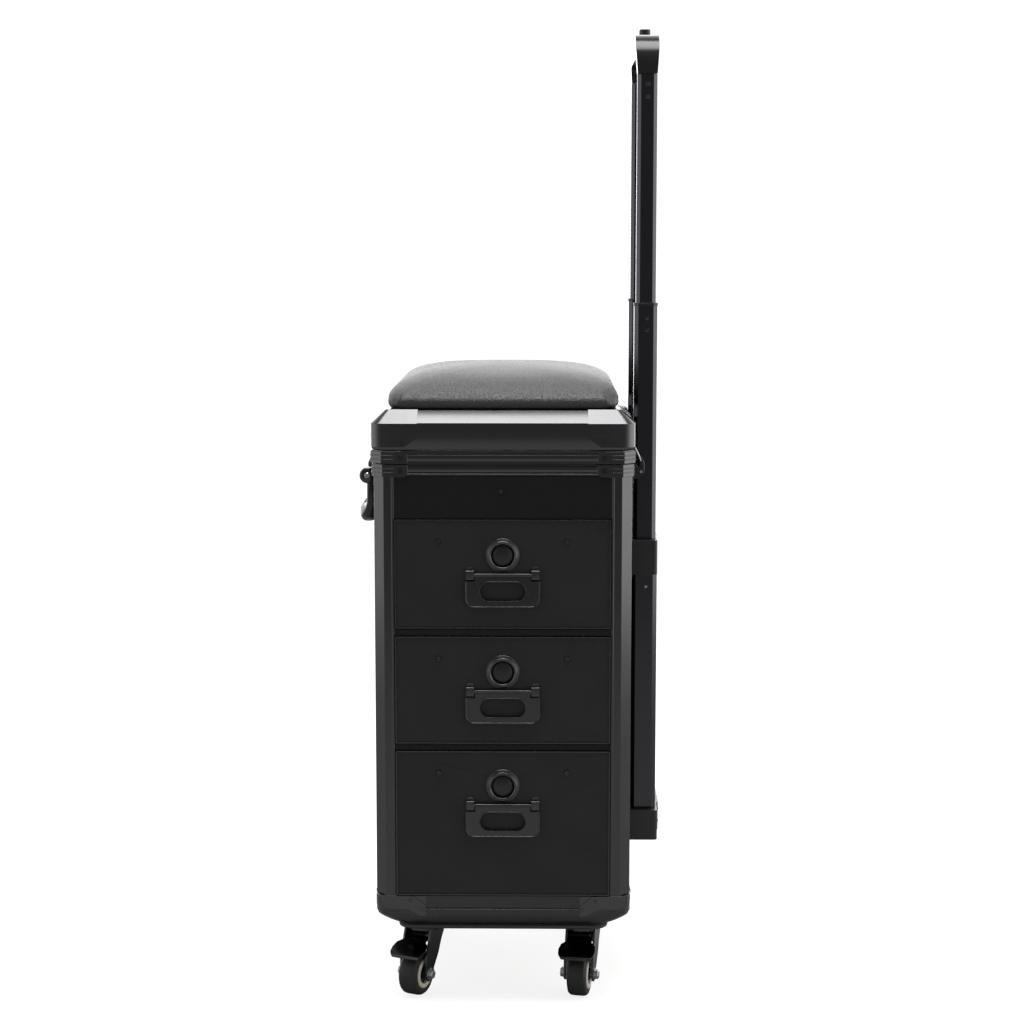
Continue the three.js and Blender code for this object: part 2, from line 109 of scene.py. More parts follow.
def set_camera():
    camera = bpy.data.objects.new("camera", bpy.data.cameras.new("camera"))
    camera.data.lens = LENS
    camera.data.sensor_width = 36
    camera.data.clip_start = 0.05
    camera.data.clip_end = 60
    camera.location = TO_ROW @ Vector(CAMERA_AT)
    forward = Vector((-math.sin(YAW) * math.cos(PITCH), math.cos(YAW) * math.cos(PITCH), -math.sin(PITCH)))
    camera.rotation_euler = forward.to_track_quat("-Z", "Y").to_euler()
    bpy.context.scene.collection.objects.link(camera)
    bpy.context.scene.camera = camera


def set_world():
    """Studio walls: bright behind, to the right and to the left, and dim where the camera stands."""
    world = bpy.data.worlds.new("studio")
    world.use_nodes = True
    tree = world.node_tree
    tree.nodes.clear()
    direction = add(tree, "ShaderNodeTexCoord").outputs["Generated"]
    axes = add(tree, "ShaderNodeSeparateXYZ", {0: direction})
    total = WALL_BASE
    for axis, sign, strength in WALL_LOBES:
        lobe = add(tree, "ShaderNodeMath", {0: axes.outputs[axis], 1: sign}, operation="MULTIPLY")
        lobe = add(tree, "ShaderNodeMath", {0: lobe.outputs[0], 1: 0.0}, operation="MAXIMUM")
        lobe = add(tree, "ShaderNodeMath", {0: lobe.outputs[0], 1: 3.0}, operation="POWER")
        total = add(tree, "ShaderNodeMath", {0: lobe.outputs[0], 1: strength, 2: total},
                    operation="MULTIPLY_ADD").outputs[0]
    walls = add(tree, "ShaderNodeBackground", {"Color": (1, 1, 1, 1), "Strength": total})
    backdrop = add(tree, "ShaderNodeBackground", {"Color": (1, 1, 1, 1), "Strength": STUDIO_WHITE})
    seen = add(tree, "ShaderNodeLightPath").outputs["Is Camera Ray"]
    mix = add(tree, "ShaderNodeMixShader", {0: seen, 1: walls.outputs[0], 2: backdrop.outputs[0]})
    add(tree, "ShaderNodeOutputWorld", {"Surface": mix.outputs[0]})
    bpy.context.scene.world = world


def add_softbox(name, place, target, size, radiance):
    """A rectangular lamp of a given radiance that faces a target; places in case millimetres."""
    lamp = bpy.data.lights.new(name, "AREA")
    lamp.shape = "RECTANGLE"
    lamp.size, lamp.size_y = (length * MM for length in size)
    lamp.energy = radiance * math.pi * lamp.size * lamp.size_y
    holder = bpy.data.objects.new(name, lamp)
    holder.location = TO_ROW @ Vector(place)
    aim = Vector(target) - Vector(place)
    holder.rotation_euler = aim.to_track_quat("-Z", "Y").to_euler()
    bpy.context.scene.collection.objects.link(holder)


def set_floor():
    """Pale floor disc whose own glow, seen by the camera only, rises to the studio white further out."""
    radius, sides = 2.6, 96
    mesh = bpy.data.meshes.new("studio_floor")
    rim = [(radius * math.cos(TAU * i / sides), radius * math.sin(TAU * i / sides), 0)
           for i in range(sides)]
    mesh.from_pydata(rim, [], [tuple(range(sides))])
    floor = bpy.data.objects.new("studio_floor", mesh)
    bpy.context.scene.collection.objects.link(floor)
    paper = bpy.data.materials.new("white_studio_paper")
    paper.use_nodes = True
    tree = paper.node_tree
    shader = tree.nodes["Principled BSDF"]
    shader.inputs["Base Color"].default_value = linear("#a2a2a0")
    shader.inputs["Roughness"].default_value = 0.9
    shader.inputs["Specular IOR Level"].default_value = 0.0
    shader.inputs["Emission Color"].default_value = linear("#ffffff")
    place = add(tree, "ShaderNodeTexCoord").outputs["Object"]
    distance = add(tree, "ShaderNodeVectorMath", {0: place}, operation="LENGTH").outputs["Value"]
    fade = add(tree, "ShaderNodeMapRange", {"Value": distance, "From Min": 0.1, "From Max": 0.8,
                                            "To Min": 0.8, "To Max": 0.95})
    seen = add(tree, "ShaderNodeLightPath").outputs["Is Camera Ray"]
    glow = add(tree, "ShaderNodeMath", {0: fade.outputs[0], 1: seen}, operation="MULTIPLY")
    tree.links.new(glow.outputs[0], shader.inputs["Emission Strength"])
    mesh.materials.append(paper)


set_camera()
set_world()
set_floor()
add_softbox("overhead_softbox", (0, -150, 2900), (0, MID_Y, 600), (1900, 1300), 8.0)
bpy.context.scene.view_settings.view_transform = "Standard"

# ---------------------------------------------------------------- finishes

FINISHES = {}


def new_finish(key, slot, name, color, **sockets):
    """A Principled material under a short key; returns its node tree and shader."""
    material = bpy.data.materials.new(name)
    material.use_nodes = True
    tree = material.node_tree
    shader = tree.nodes["Principled BSDF"]
    shader.inputs["Base Color"].default_value = linear(color)
    for socket, value in sockets.items():
        shader.inputs[socket.replace("_", " ").title().replace("Ior", "IOR")].default_value = value
    FINISHES[key] = (material, slot)
    return tree, shader


def pattern(tree, kind, size, stretch=(1, 1, 1), **settings):
    """A texture on Object coordinates whose cells are size millimetres across."""
    place = add(tree, "ShaderNodeTexCoord").outputs["Object"]
    scale = [1 / (size * MM * factor) for factor in stretch]
    mapped = add(tree, "ShaderNodeMapping", {"Vector": place, "Scale": scale}).outputs[0]
    return add(tree, kind, {"Vector": mapped, "Scale": 1.0}, **settings)


def emboss(tree, shader, height, depth, strength=1.0):
    """Relief of a given depth in millimetres from a height between 0 and 1."""
    bump = add(tree, "ShaderNodeBump", {"Height": height, "Distance": depth * MM, "Strength": strength})
    tree.links.new(bump.outputs[0], shader.inputs["Normal"])


def vary(tree, shader, socket, source, low, high):
    """Drives a socket with a texture value, from low where it is 0 to high where it is 1."""
    if isinstance(low, str):
        mix = add(tree, "ShaderNodeMix", {0: source, 6: linear(low), 7: linear(high)}, data_type="RGBA")
        tree.links.new(mix.outputs[2], shader.inputs[socket])
    else:
        spread = add(tree, "ShaderNodeMapRange", {"Value": source, "To Min": low, "To Max": high})
        tree.links.new(spread.outputs[0], shader.inputs[socket])


def make_vinyl():
    """PVC leathercloth on board, calendered with a pebble emboss: dark, with a broken soft gloss.
    The real pebble is about 0.8 mm; it is drawn at 1.5 mm so that it shows."""
    tree, shader = new_finish("vinyl", "vinyl_board", "embossed_pvc_leathercloth", "#1e1e1f",
                              roughness=0.5, specular_ior_level=0.35)
    pebble = pattern(tree, "ShaderNodeTexVoronoi", 1.5, feature="SMOOTH_F1")
    patches = pattern(tree, "ShaderNodeTexNoise", 40)
    emboss(tree, shader, pebble.outputs["Distance"], 0.16)
    vary(tree, shader, "Base Color", patches.outputs[0], "#1b1b1c", "#252526")
    vary(tree, shader, "Roughness", pebble.outputs["Distance"], 0.42, 0.6)


def make_dark_vinyl():
    """The same leathercloth on the recessed fascia, with a flatter and darker print."""
    tree, shader = new_finish("dark_vinyl", "vinyl_board", "flat_pvc_leathercloth", "#101011",
                              roughness=0.55, specular_ior_level=0.25)
    pebble = pattern(tree, "ShaderNodeTexVoronoi", 1.5, feature="SMOOTH_F1")
    emboss(tree, shader, pebble.outputs["Distance"], 0.08)
    vary(tree, shader, "Roughness", pebble.outputs["Distance"], 0.5, 0.64)


def make_extrusion(key, name, stretch, color, roughness):
    """Black anodised aluminium, drawn through a die: dark metal with fine lines along its length.
    Real die lines are 0.1 mm or less; they are drawn 0.6 mm wide so that they show."""
    tree, shader = new_finish(key, "black_extrusion", name, color, metallic=1.0, roughness=roughness)
    lines = pattern(tree, "ShaderNodeTexNoise", 0.6, stretch)
    lines.inputs["Detail"].default_value = 3.0
    patches = pattern(tree, "ShaderNodeTexNoise", 55)
    emboss(tree, shader, lines.outputs[0], 0.005)
    vary(tree, shader, "Roughness", patches.outputs[0], roughness - 0.04, roughness + 0.06)


def make_coated_steel():
    """Pressed steel with a black electro-coat: satin, with the faint orange peel of a baked coat."""
    for key, slot, name, color, low, high in (
        ("corner_steel", "corner_moulding", "electro_coated_corner_steel", "#575758", 0.18, 0.27),
        ("hardware", "black_hardware", "electro_coated_hardware_steel", "#4e4e4f", 0.13, 0.22),
        ("rail_steel", "corner_moulding", "electro_coated_base_rail", "#4a4a4b", 0.24, 0.34),
    ):
        tree, shader = new_finish(key, slot, name, color, metallic=1.0, roughness=low)
        peel = pattern(tree, "ShaderNodeTexNoise", 1.6)
        patches = pattern(tree, "ShaderNodeTexNoise", 18)
        emboss(tree, shader, peel.outputs[0], 0.02)
        vary(tree, shader, "Roughness", patches.outputs[0], low, high)


def make_leather():
    """Polyurethane leather over foam: a fine pored grain with a soft sheen.
    The real pores are about 1.2 mm apart; they are drawn 2 mm apart so that they show."""
    tree, shader = new_finish("leather", "seat_leather", "polyurethane_leather", "#1a1a1a",
                              roughness=0.4, specular_ior_level=0.8)
    cells = pattern(tree, "ShaderNodeTexVoronoi", 2.0, feature="DISTANCE_TO_EDGE")
    pores = pattern(tree, "ShaderNodeTexNoise", 2.2)
    pores.inputs["Detail"].default_value = 4.0
    height = add(tree, "ShaderNodeMath", {0: cells.outputs["Distance"], 1: pores.outputs[0]},
                 operation="MULTIPLY")
    clipped = add(tree, "ShaderNodeMapRange", {"Value": height.outputs[0], "From Max": 0.22})
    emboss(tree, shader, clipped.outputs[0], 0.3)
    folds = pattern(tree, "ShaderNodeTexNoise", 60)
    vary(tree, shader, "Base Color", folds.outputs[0], "#161616", "#222222")
    vary(tree, shader, "Roughness", clipped.outputs[0], 0.5, 0.34)


def make_tube_finish():
    """Black anodised, polished tube: mirror-dark with faint lines along its length."""
    tree, shader = new_finish("tube", "handle_tube", "polished_black_anodised_tube", "#48484c",
                              metallic=1.0, roughness=0.18)
    lines = pattern(tree, "ShaderNodeTexNoise", 0.7, (1, 1, 400))
    emboss(tree, shader, lines.outputs[0], 0.008)
    smears = pattern(tree, "ShaderNodeTexNoise", 30, (1, 1, 4))
    vary(tree, shader, "Roughness", smears.outputs[0], 0.14, 0.26)


def make_plastics():
    """Injection-moulded plastics: ABS with a spark-eroded skin, and parts left smooth from the mould."""
    for key, slot, name, color, rough, skin in (
        ("abs", "handle_plastic", "moulded_abs", "#1b1b1c", 0.34, 0.03),
        ("button", "black_hardware", "moulded_button_plastic", "#1c1c1d", 0.3, 0.06),
        ("tray", "drawer_tray", "moulded_tray_polypropylene", "#2c2c2d", 0.5, 0.05),
        ("core", "caster_tyre", "moulded_nylon_wheel_core", "#d4cfbd", 0.42, 0.03),
        ("abs_gloss", "handle_plastic", "glossy_moulded_abs", "#18181a", 0.2, 0.012),
    ):
        tree, shader = new_finish(key, slot, name, color, roughness=rough)
        skin_cells = pattern(tree, "ShaderNodeTexNoise", 0.9)
        patches = pattern(tree, "ShaderNodeTexNoise", 20)
        emboss(tree, shader, skin_cells.outputs[0], skin)
        vary(tree, shader, "Roughness", patches.outputs[0], rough - 0.05, rough + 0.08)


def make_rubber():
    """Thermoplastic rubber: dull black, with dust that lightens it in patches."""
    for key, slot, name in (("tread", "caster_tyre", "thermoplastic_rubber_tread"),
                            ("grip_rubber", "handle_plastic", "soft_rubber_sleeve")):
        tree, shader = new_finish(key, slot, name, "#1a1a1b", roughness=0.5)
        dust = pattern(tree, "ShaderNodeTexNoise", 9)
        skin = pattern(tree, "ShaderNodeTexNoise", 0.8)
        emboss(tree, shader, skin.outputs[0], 0.04)
        vary(tree, shader, "Base Color", dust.outputs[0], "#161617", "#242424")
        vary(tree, shader, "Roughness", dust.outputs[0], 0.42, 0.62)


def make_zinc():
    """Zinc plate on steel, bright for bolts, nuts, runners and wire, and black-passivated for rivets."""
    for key, name, color, dull, bright in (
        ("zinc", "bright_zinc_plate", "#c9ccd0", "#a9acb1", "#dcdee0"),
        ("zinc_black", "black_passivated_zinc_plate", "#515254", "#47484a", "#5c5d5f"),
    ):
        tree, shader = new_finish(key, "black_hardware", name, color, metallic=1.0, roughness=0.28)
        mottle = pattern(tree, "ShaderNodeTexNoise", 3)
        vary(tree, shader, "Base Color", mottle.outputs[0], dull, bright)
        vary(tree, shader, "Roughness", mottle.outputs[0], 0.2, 0.4)


def make_lining():
    """Flocked lining board: short fibres that scatter light, with no gloss."""
    tree, shader = new_finish("lining", "lining", "flocked_lining_board", "#262627",
                              roughness=0.95, specular_ior_level=0.1)
    fibres = pattern(tree, "ShaderNodeTexNoise", 0.9)
    emboss(tree, shader, fibres.outputs[0], 0.2)
    vary(tree, shader, "Base Color", fibres.outputs[0], "#1c1c1d", "#313132")


make_vinyl()
make_dark_vinyl()
make_extrusion("post", "anodised_corner_extrusion", (1, 1, 400), "#535354", 0.22)
make_extrusion("rim", "anodised_rim_extrusion", (400, 400, 1), "#575758", 0.2)
make_coated_steel()
make_leather()
make_tube_finish()
make_plastics()
make_rubber()
make_zinc()
make_lining()

# ---------------------------------------------------------------- shapes

SHARP_ANGLE = math.radians(28)
CUT = 11
CUT_LOSS = 0.586
PLANES = {
    "x": lambda u, v, w: Vector((w, u, v)),
    "y": lambda u, v, w: Vector((u, w, v)),
    "z": lambda u, v, w: Vector((u, v, w)),
}


def arc(u, v, radius, start, end, steps=6):
    """Points of an arc about (u, v), with its angles in degrees."""
    turns = [math.radians(start + (end - start) * i / steps) for i in range(steps + 1)]
    return [(u + radius * math.cos(turn), v + radius * math.sin(turn)) for turn in turns]


def rounded(u0, v0, u1, v1, radius, steps=5):
    """A rectangle with round corners; one step makes them flat cuts."""
    corners = ((u1, v1, -1, -1), (u0, v1, 1, -1), (u0, v0, 1, 1), (u1, v0, -1, 1))
    return [point for quarter, (u, v, inward_u, inward_v) in enumerate(corners)
            for point in arc(u + inward_u * radius, v + inward_v * radius, radius,
                             quarter * 90, quarter * 90 + 90, steps)]


def loft(rows, looped=False, capped=True):
    """A skin through closed rows of points; looped joins the last row to the first."""
    solid = bmesh.new()
    rings = [[solid.verts.new(point) for point in row] for row in rows]
    for near, far in zip(rings, rings[1:] + (rings[:1] if looped else [])):
        for i in range(len(near)):
            j = (i + 1) % len(near)
            solid.faces.new((near[i], near[j], far[j], far[i]))
    if capped and not looped:
        solid.faces.new(rings[0][::-1])
        solid.faces.new(rings[-1])
    return solid


def prism(outline, low, high, along="z", holes=()):
    """An outline with holes, pushed from low to high along an axis."""
    place = PLANES[along]
    if not holes:
        return loft([[place(u, v, w) for u, v in outline] for w in (low, high)])
    solid = bmesh.new()
    loops = [outline, *holes]
    flat = [point for loop in loops for point in loop]
    ends = [[solid.verts.new(place(u, v, w)) for u, v in flat] for w in (low, high)]
    for triangle in tessellate_polygon([[Vector((u, v, 0)) for u, v in loop] for loop in loops]):
        for end in ends:
            solid.faces.new([end[i] for i in triangle])
    first = 0
    for loop in loops:
        for i in range(len(loop)):
            a, b = first + i, first + (i + 1) % len(loop)
            solid.faces.new((ends[0][a], ends[0][b], ends[1][b], ends[1][a]))
        first += len(loop)
    return solid


def shell(outer, inner):
    """A closed wall between two open grids of points of equal rows and columns."""
    solid = bmesh.new()
    grids = [[[solid.verts.new(point) for point in row] for row in grid] for grid in (outer, inner)]
    last_row, last_column = len(outer) - 1, len(outer[0]) - 1
    for grid in grids:
        for i in range(last_row):
            for j in range(last_column):
                solid.faces.new((grid[i][j], grid[i][j + 1], grid[i + 1][j + 1], grid[i + 1][j]))
    border = [(0, j) for j in range(last_column)] + [(i, last_column) for i in range(last_row)]
    border += [(last_row, j) for j in range(last_column, 0, -1)] + [(i, 0) for i in range(last_row, 0, -1)]
    for (a, b), (c, d) in zip(border, border[1:] + border[:1]):
        solid.faces.new((grids[0][a][b], grids[0][c][d], grids[1][c][d], grids[1][a][b]))
    return solid


def lathe(profile, centre, along="y", sides=48, looped=False):
    """A profile of (radius, distance along the axis) turned about an axis through centre."""
    place = PLANES[along]
    turns = [TAU * i / sides for i in range(sides)]
    rows = [[Vector(centre) + place(radius * math.cos(turn), radius * math.sin(turn), w) for turn in turns]
            for radius, w in profile]
    return loft(rows, looped=looped, capped=False)


def wire(path, radius, sides=10):
    """A round rod along a path of points."""
    points = [Vector(point) for point in path]
    side = None
    rows = []
    for i, point in enumerate(points):
        ahead = (points[min(i + 1, len(points) - 1)] - points[max(i - 1, 0)]).normalized()
        side = (ahead.orthogonal() if side is None else side - ahead * side.dot(ahead)).normalized()
        up = ahead.cross(side)
        turns = [TAU * k / sides for k in range(sides)]
        rows.append([point + (side * math.cos(turn) + up * math.sin(turn)) * radius for turn in turns])
    return loft(rows)


def block(low, high, round_by=0.0):
    """A bar between two corners; round_by rounds its four edges along Y."""
    outline = rounded(low[0], low[2], high[0], high[2], round_by, 4) if round_by else [
        (low[0], low[2]), (high[0], low[2]), (high[0], high[2]), (low[0], high[2])]
    return prism(outline, low[1], high[1], "y")


def plan(grow_x, grow_y, z, corner=None, steps=1):
    """The case's plan at one height, grown outwards, with its corners cut flat or rounded.
    A 45 degree cut loses CUT_LOSS of its length for each millimetre that its sides move in."""
    if corner is None:
        corner = CUT + CUT_LOSS * grow_x
    points = rounded(-HALF_X - grow_x, -grow_y, HALF_X + grow_x, DEPTH + grow_y, max(corner, 0.5), steps)
    return [Vector((x, y, z)) for x, y in points]


def rim(profile):
    """A profile of (growth, height) carried round the case's plan."""
    return loft([plan(grow, grow, z) for grow, z in profile], looped=True)


def tidy(solid):
    """Joins the solid's doubled points and turns its faces outwards."""
    bmesh.ops.remove_doubles(solid, verts=solid.verts, dist=0.003)
    bmesh.ops.recalc_face_normals(solid, faces=solid.faces)
    return solid


def turned(solid, degrees, axis):
    solid.transform(Matrix.Rotation(math.radians(degrees), 4, axis))
    return solid


def moved(solid, *shift):
    solid.transform(Matrix.Translation(shift))
    return solid


def loose_object(solid, name="carving"):
    """An object of the solid alone, undressed, for a modifier to work on."""
    mesh = bpy.data.meshes.new(name)
    tidy(solid).to_mesh(mesh)
    solid.free()
    made = bpy.data.objects.new(name, mesh)
    bpy.context.scene.collection.objects.link(made)
    return made


def carved(solid, *tools):
    """The solid with the tools' shapes taken out of it."""
    body, *cutters = [loose_object(part) for part in (solid, *tools)]
    for cutter in cutters:
        cut = body.modifiers.new("cut", "BOOLEAN")
        cut.object = cutter
        cut.operation = "DIFFERENCE"
    view = bpy.context.evaluated_depsgraph_get()
    result = bmesh.new()
    result.from_mesh(body.evaluated_get(view).to_mesh())
    for spent in (body, *cutters):
        bpy.data.objects.remove(spent)
    return result


def eased(value):
    """A value held between 0 and 1 and smoothed at both ends."""
    value = min(max(value, 0), 1)
    return value * value * (3 - 2 * value)


def squared(turn):
    """Reach of a rounded square at one angle, where its flats are 1 away."""
    return (abs(math.cos(turn)) ** 3 + abs(math.sin(turn)) ** 3) ** (-1 / 3)


def headings(path):
    """The direction of travel at each point of a path of (u, v) points."""
    last = len(path) - 1
    return [(Vector(path[min(i + 1, last)][:2]) - Vector(path[max(i - 1, 0)][:2])).normalized()
            for i in range(len(path))]


def dress(made, finish, body, replaces=()):
    """Gives a finished object its material and the body that it moves with."""
    material, slot = FINISHES[finish]
    made.data.materials.clear()
    made.data.materials.append(material)
    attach(made, body)
    if replaces:
        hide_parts(*replaces)
    return made


def piece(name, parts, finish, body, replaces=(), edge=0.0, segments=2):
    """One piece of the object from one or more closed solids, with its edges eased by edge mm."""
    whole = bmesh.new()
    for part in parts if isinstance(parts, list) else [parts]:
        mesh = bpy.data.meshes.new("part")
        tidy(part).to_mesh(mesh)
        whole.from_mesh(mesh)
        part.free()
        bpy.data.meshes.remove(mesh)
    whole.transform(TO_ROW)
    mesh = bpy.data.meshes.new(name)
    whole.to_mesh(mesh)
    whole.free()
    mesh.shade_smooth()
    mesh.set_sharp_from_angle(angle=SHARP_ANGLE)
    made = bpy.data.objects.new(name, mesh)
    bpy.context.scene.collection.objects.link(made)
    if edge:
        bevel = made.modifiers.new("eased_edges", "BEVEL")
        bevel.width = edge * MM
        bevel.segments = segments
        bevel.limit_method = "ANGLE"
        bevel.angle_limit = SHARP_ANGLE
        bevel.harden_normals = True
    return dress(made, finish, body, replaces)


# ---------------------------------------------------------------- rivets, screws and stitches

def head_tree():
    """Geometry Nodes: one fastener head on every point, facing along the point's facing vector."""
    tree = bpy.data.node_groups.new("fastener_heads", "GeometryNodeTree")
    socket = tree.interface.new_socket
    socket("Spots", in_out="INPUT", socket_type="NodeSocketGeometry")
    socket("Radius", in_out="INPUT", socket_type="NodeSocketFloat")
    socket("Height", in_out="INPUT", socket_type="NodeSocketFloat")
    socket("Sides", in_out="INPUT", socket_type="NodeSocketInt")
    socket("Dimple", in_out="INPUT", socket_type="NodeSocketFloat")
    socket("Finish", in_out="INPUT", socket_type="NodeSocketMaterial")
    socket("Heads", in_out="OUTPUT", socket_type="NodeSocketGeometry")
    given = add(tree, "NodeGroupInput").outputs
    disc = add(tree, "GeometryNodeMeshCircle", {"Vertices": given["Sides"], "Radius": given["Radius"]},
               fill_type="NGON")
    mesh, top = disc.outputs[0], True
    dimple = add(tree, "ShaderNodeMath", {0: given["Dimple"], 1: given["Height"]}, operation="MULTIPLY")
    sunk = add(tree, "ShaderNodeMath", {0: dimple.outputs[0], 1: -1.0}, operation="MULTIPLY").outputs[0]
    for lift, shrink in ((given["Height"], 0.78), (0.0, 0.5), (sunk, 0.85)):
        raised = add(tree, "GeometryNodeExtrudeMesh", {"Mesh": mesh, "Selection": top, "Offset Scale": lift})
        mesh, top = raised.outputs["Mesh"], raised.outputs["Top"]
        scaled = add(tree, "GeometryNodeScaleElements", {"Geometry": mesh, "Selection": top, "Scale": shrink})
        mesh = scaled.outputs[0]
    facing = add(tree, "GeometryNodeInputNamedAttribute", {"Name": "facing"}, data_type="FLOAT_VECTOR")
    turn = add(tree, "FunctionNodeAlignRotationToVector", {"Vector": facing.outputs[0]}, axis="Z")
    heads = add(tree, "GeometryNodeInstanceOnPoints", {"Points": given["Spots"], "Instance": mesh,
                                                      "Rotation": turn.outputs[0]})
    real = add(tree, "GeometryNodeRealizeInstances", {0: heads.outputs[0]})
    painted = add(tree, "GeometryNodeSetMaterial", {"Geometry": real.outputs[0], "Material": given["Finish"]})
    add(tree, "NodeGroupOutput", {0: painted.outputs[0]})
    return tree


HEAD_TREE = head_tree()


def fasteners(name, spots, body, radius=2.9, height=1.1, sides=20, dimple=0.9, finish="hardware"):
    """Heads on spots of (place, facing), made by Geometry Nodes and kept as one plain mesh."""
    mesh = bpy.data.meshes.new(name + "_spots")
    mesh.from_pydata([TO_ROW @ Vector(place) for place, facing in spots], [], [])
    facings = mesh.attributes.new("facing", "FLOAT_VECTOR", "POINT")
    facings.data.foreach_set("vector", [value for place, facing in spots for value in facing])
    holder = bpy.data.objects.new(name + "_spots", mesh)
    bpy.context.scene.collection.objects.link(holder)
    modifier = holder.modifiers.new("heads", "NODES")
    modifier.node_group = HEAD_TREE
    values = {"Radius": radius * MM, "Height": height * MM, "Sides": sides, "Dimple": dimple,
              "Finish": FINISHES[finish][0]}
    for item in HEAD_TREE.interface.items_tree:
        if item.name in values:
            modifier[item.identifier] = values[item.name]
    made = bpy.data.objects.new(name, plain_mesh(holder))
    bpy.context.scene.collection.objects.link(made)
    bpy.data.objects.remove(holder)
    return dress(made, finish, body)


def plain_mesh(holder):
    """The object's mesh with its modifiers applied, and its sharp edges marked."""
    view = bpy.context.evaluated_depsgraph_get()
    mesh = bpy.data.meshes.new_from_object(holder.evaluated_get(view), depsgraph=view)
    mesh.shade_smooth()
    mesh.set_sharp_from_angle(angle=SHARP_ANGLE)
    return mesh


# ---------------------------------------------------------------- carried-over CAD nodes

def dress_cad_nodes():
    """The flat boards keep their CAD shape and get their real covering."""
    coverings = {
        "vinyl": ["left_panel", "right_panel", "back_panel", "lid_panel"],
        "dark_vinyl": ["front_fascia"],
        "lining": ["compartment_floor", "divider_upper", "divider_lower"],
        "tray": [f"drawer_box_{name}" for name in DRAWERS],
    }
    for finish, nodes in coverings.items():
        for node in nodes:
            frame["nodes"][node].material_slots[0].material = FINISHES[finish][0]


dress_cad_nodes()

# ---------------------------------------------------------------- corner pieces

CORNERS = [(f"{end}_{side}", sign, rear) for end, rear in ENDS for side, sign in SIDES]


def at_corner(u, v, z, sign, rear):
    """A point u in from the side face and v in from the front or back face at one corner."""
    return Vector((sign * (HALF_X - u), DEPTH - v if rear else v, z))


def corner_wrap(rows, thickness, sign, rear, steps=1):
    """A plate bent round an upright corner; rows are (inset, corner cut, reach, height)."""
    grids = []
    for extra in (0, thickness):
        grid = []
        for inset, cut, reach, z in rows:
            inset, cut = inset + extra, max(cut - extra * CUT_LOSS, 0.6)
            bend = [(inset + cut - cut * math.sin(math.radians(90 * i / steps)),
                     inset + cut - cut * math.cos(math.radians(90 * i / steps))) for i in range(steps + 1)]
            front = [(reach, inset), (reach - 2, inset)]
            side = [(inset, reach - 2), (inset, reach)]
            grid.append([at_corner(u, v, z, sign, rear) for u, v in front + bend + side])
        grids.append(grid)
    return shell(*grids)


def on_two_faces(u, v, out, sign, rear):
    """Rivet spots at u from the corner on the front or back face and on the side face."""
    facing = 1 if rear else -1
    return [(at_corner(u, -out, v, sign, rear), (0, facing, 0)),
            (at_corner(-out, u, v, sign, rear), (sign, 0, 0))]


def tongue(outline, inset, proud, sign, rear):
    """An embossed flat on both faces of a corner; the outline is (distance from corner, height)."""
    parts = []
    for swap in (False, True):
        loops = []
        for depth in (inset + 0.4, inset - proud):
            points = [((depth, u) if swap else (u, depth), z) for u, z in outline]
            loops.append([at_corner(*place, z, sign, rear) for place, z in points])
        parts.append(loft(loops))
    return parts


def make_lid_corners():
    """Pressed corners over the lid frame's bevel, each with an embossed triangle and a rivet."""
    low, high = span("lid_frame")
    top, shoulder = high.z, high.z - BEVEL_RISE
    foot = low.z + 2.8
    spots = []
    for name, sign, rear in CORNERS:
        rows = [(13.4, 5, 48, top + 0.6), (12.6, 5.5, 48, top + 0.5), (-3, CUT + 1, 48, shoulder),
                (-3, CUT + 1, 50, shoulder - 2), (-3, CUT + 1, 50, 637.2), (-3, CUT + 1, 34, foot)]
        plate = corner_wrap(rows, 1.2, sign, rear, 5)
        triangle = [(25, 637), (49, 637), (47.5, 634.5), (35, 625.2), (30, 625.2)]
        piece(f"lid_corner_{name}", [plate, *tongue(triangle, -2.9, 1.6, sign, rear)],
              "corner_steel", "lid", edge=0.7, segments=1)
        spots += on_two_faces(31.5, 630, 3.5, sign, rear)
    fasteners("lid_corner_rivets", spots, "lid")


def make_rim_brackets():
    """Brackets that tie the rims at each corner, on the lid above the split and on the case below."""
    for kind, body, grow, heights, step in (
        ("lid", "lid", 3.3, (SPLIT_Z + 0.5, SPLIT_Z + 13.6), 1),
        ("case", "case", 2.0, (SPLIT_Z - 0.5, SPLIT_Z - 14.2), -1),
    ):
        spots = []
        for name, sign, rear in CORNERS:
            near, far = heights
            middle = (near + far) / 2
            rows = [(-grow, CUT + 1, 37.5, near), (-grow, CUT + 1, 37.5, far - 2.5 * step),
                    (-grow, CUT + 1, 35, far - 0.6 * step), (-grow, CUT + 1, 33, far)]
            ribs = []
            for z in (middle - 2.2, middle + 2.2):
                edges = [(-grow - 0.7, CUT + 1.4, 22, z - 0.6), (-grow - 0.7, CUT + 1.4, 22, z + 0.6)]
                ribs.append(corner_wrap(edges, 1.2, sign, rear))
            piece(f"{kind}_rim_bracket_{name}", [corner_wrap(rows, 1.3, sign, rear), *ribs],
                  "corner_steel", body, edge=0.4)
            spots += on_two_faces(30, middle, grow + 0.3, sign, rear)
        fasteners(f"{kind}_rim_rivets", spots, body)


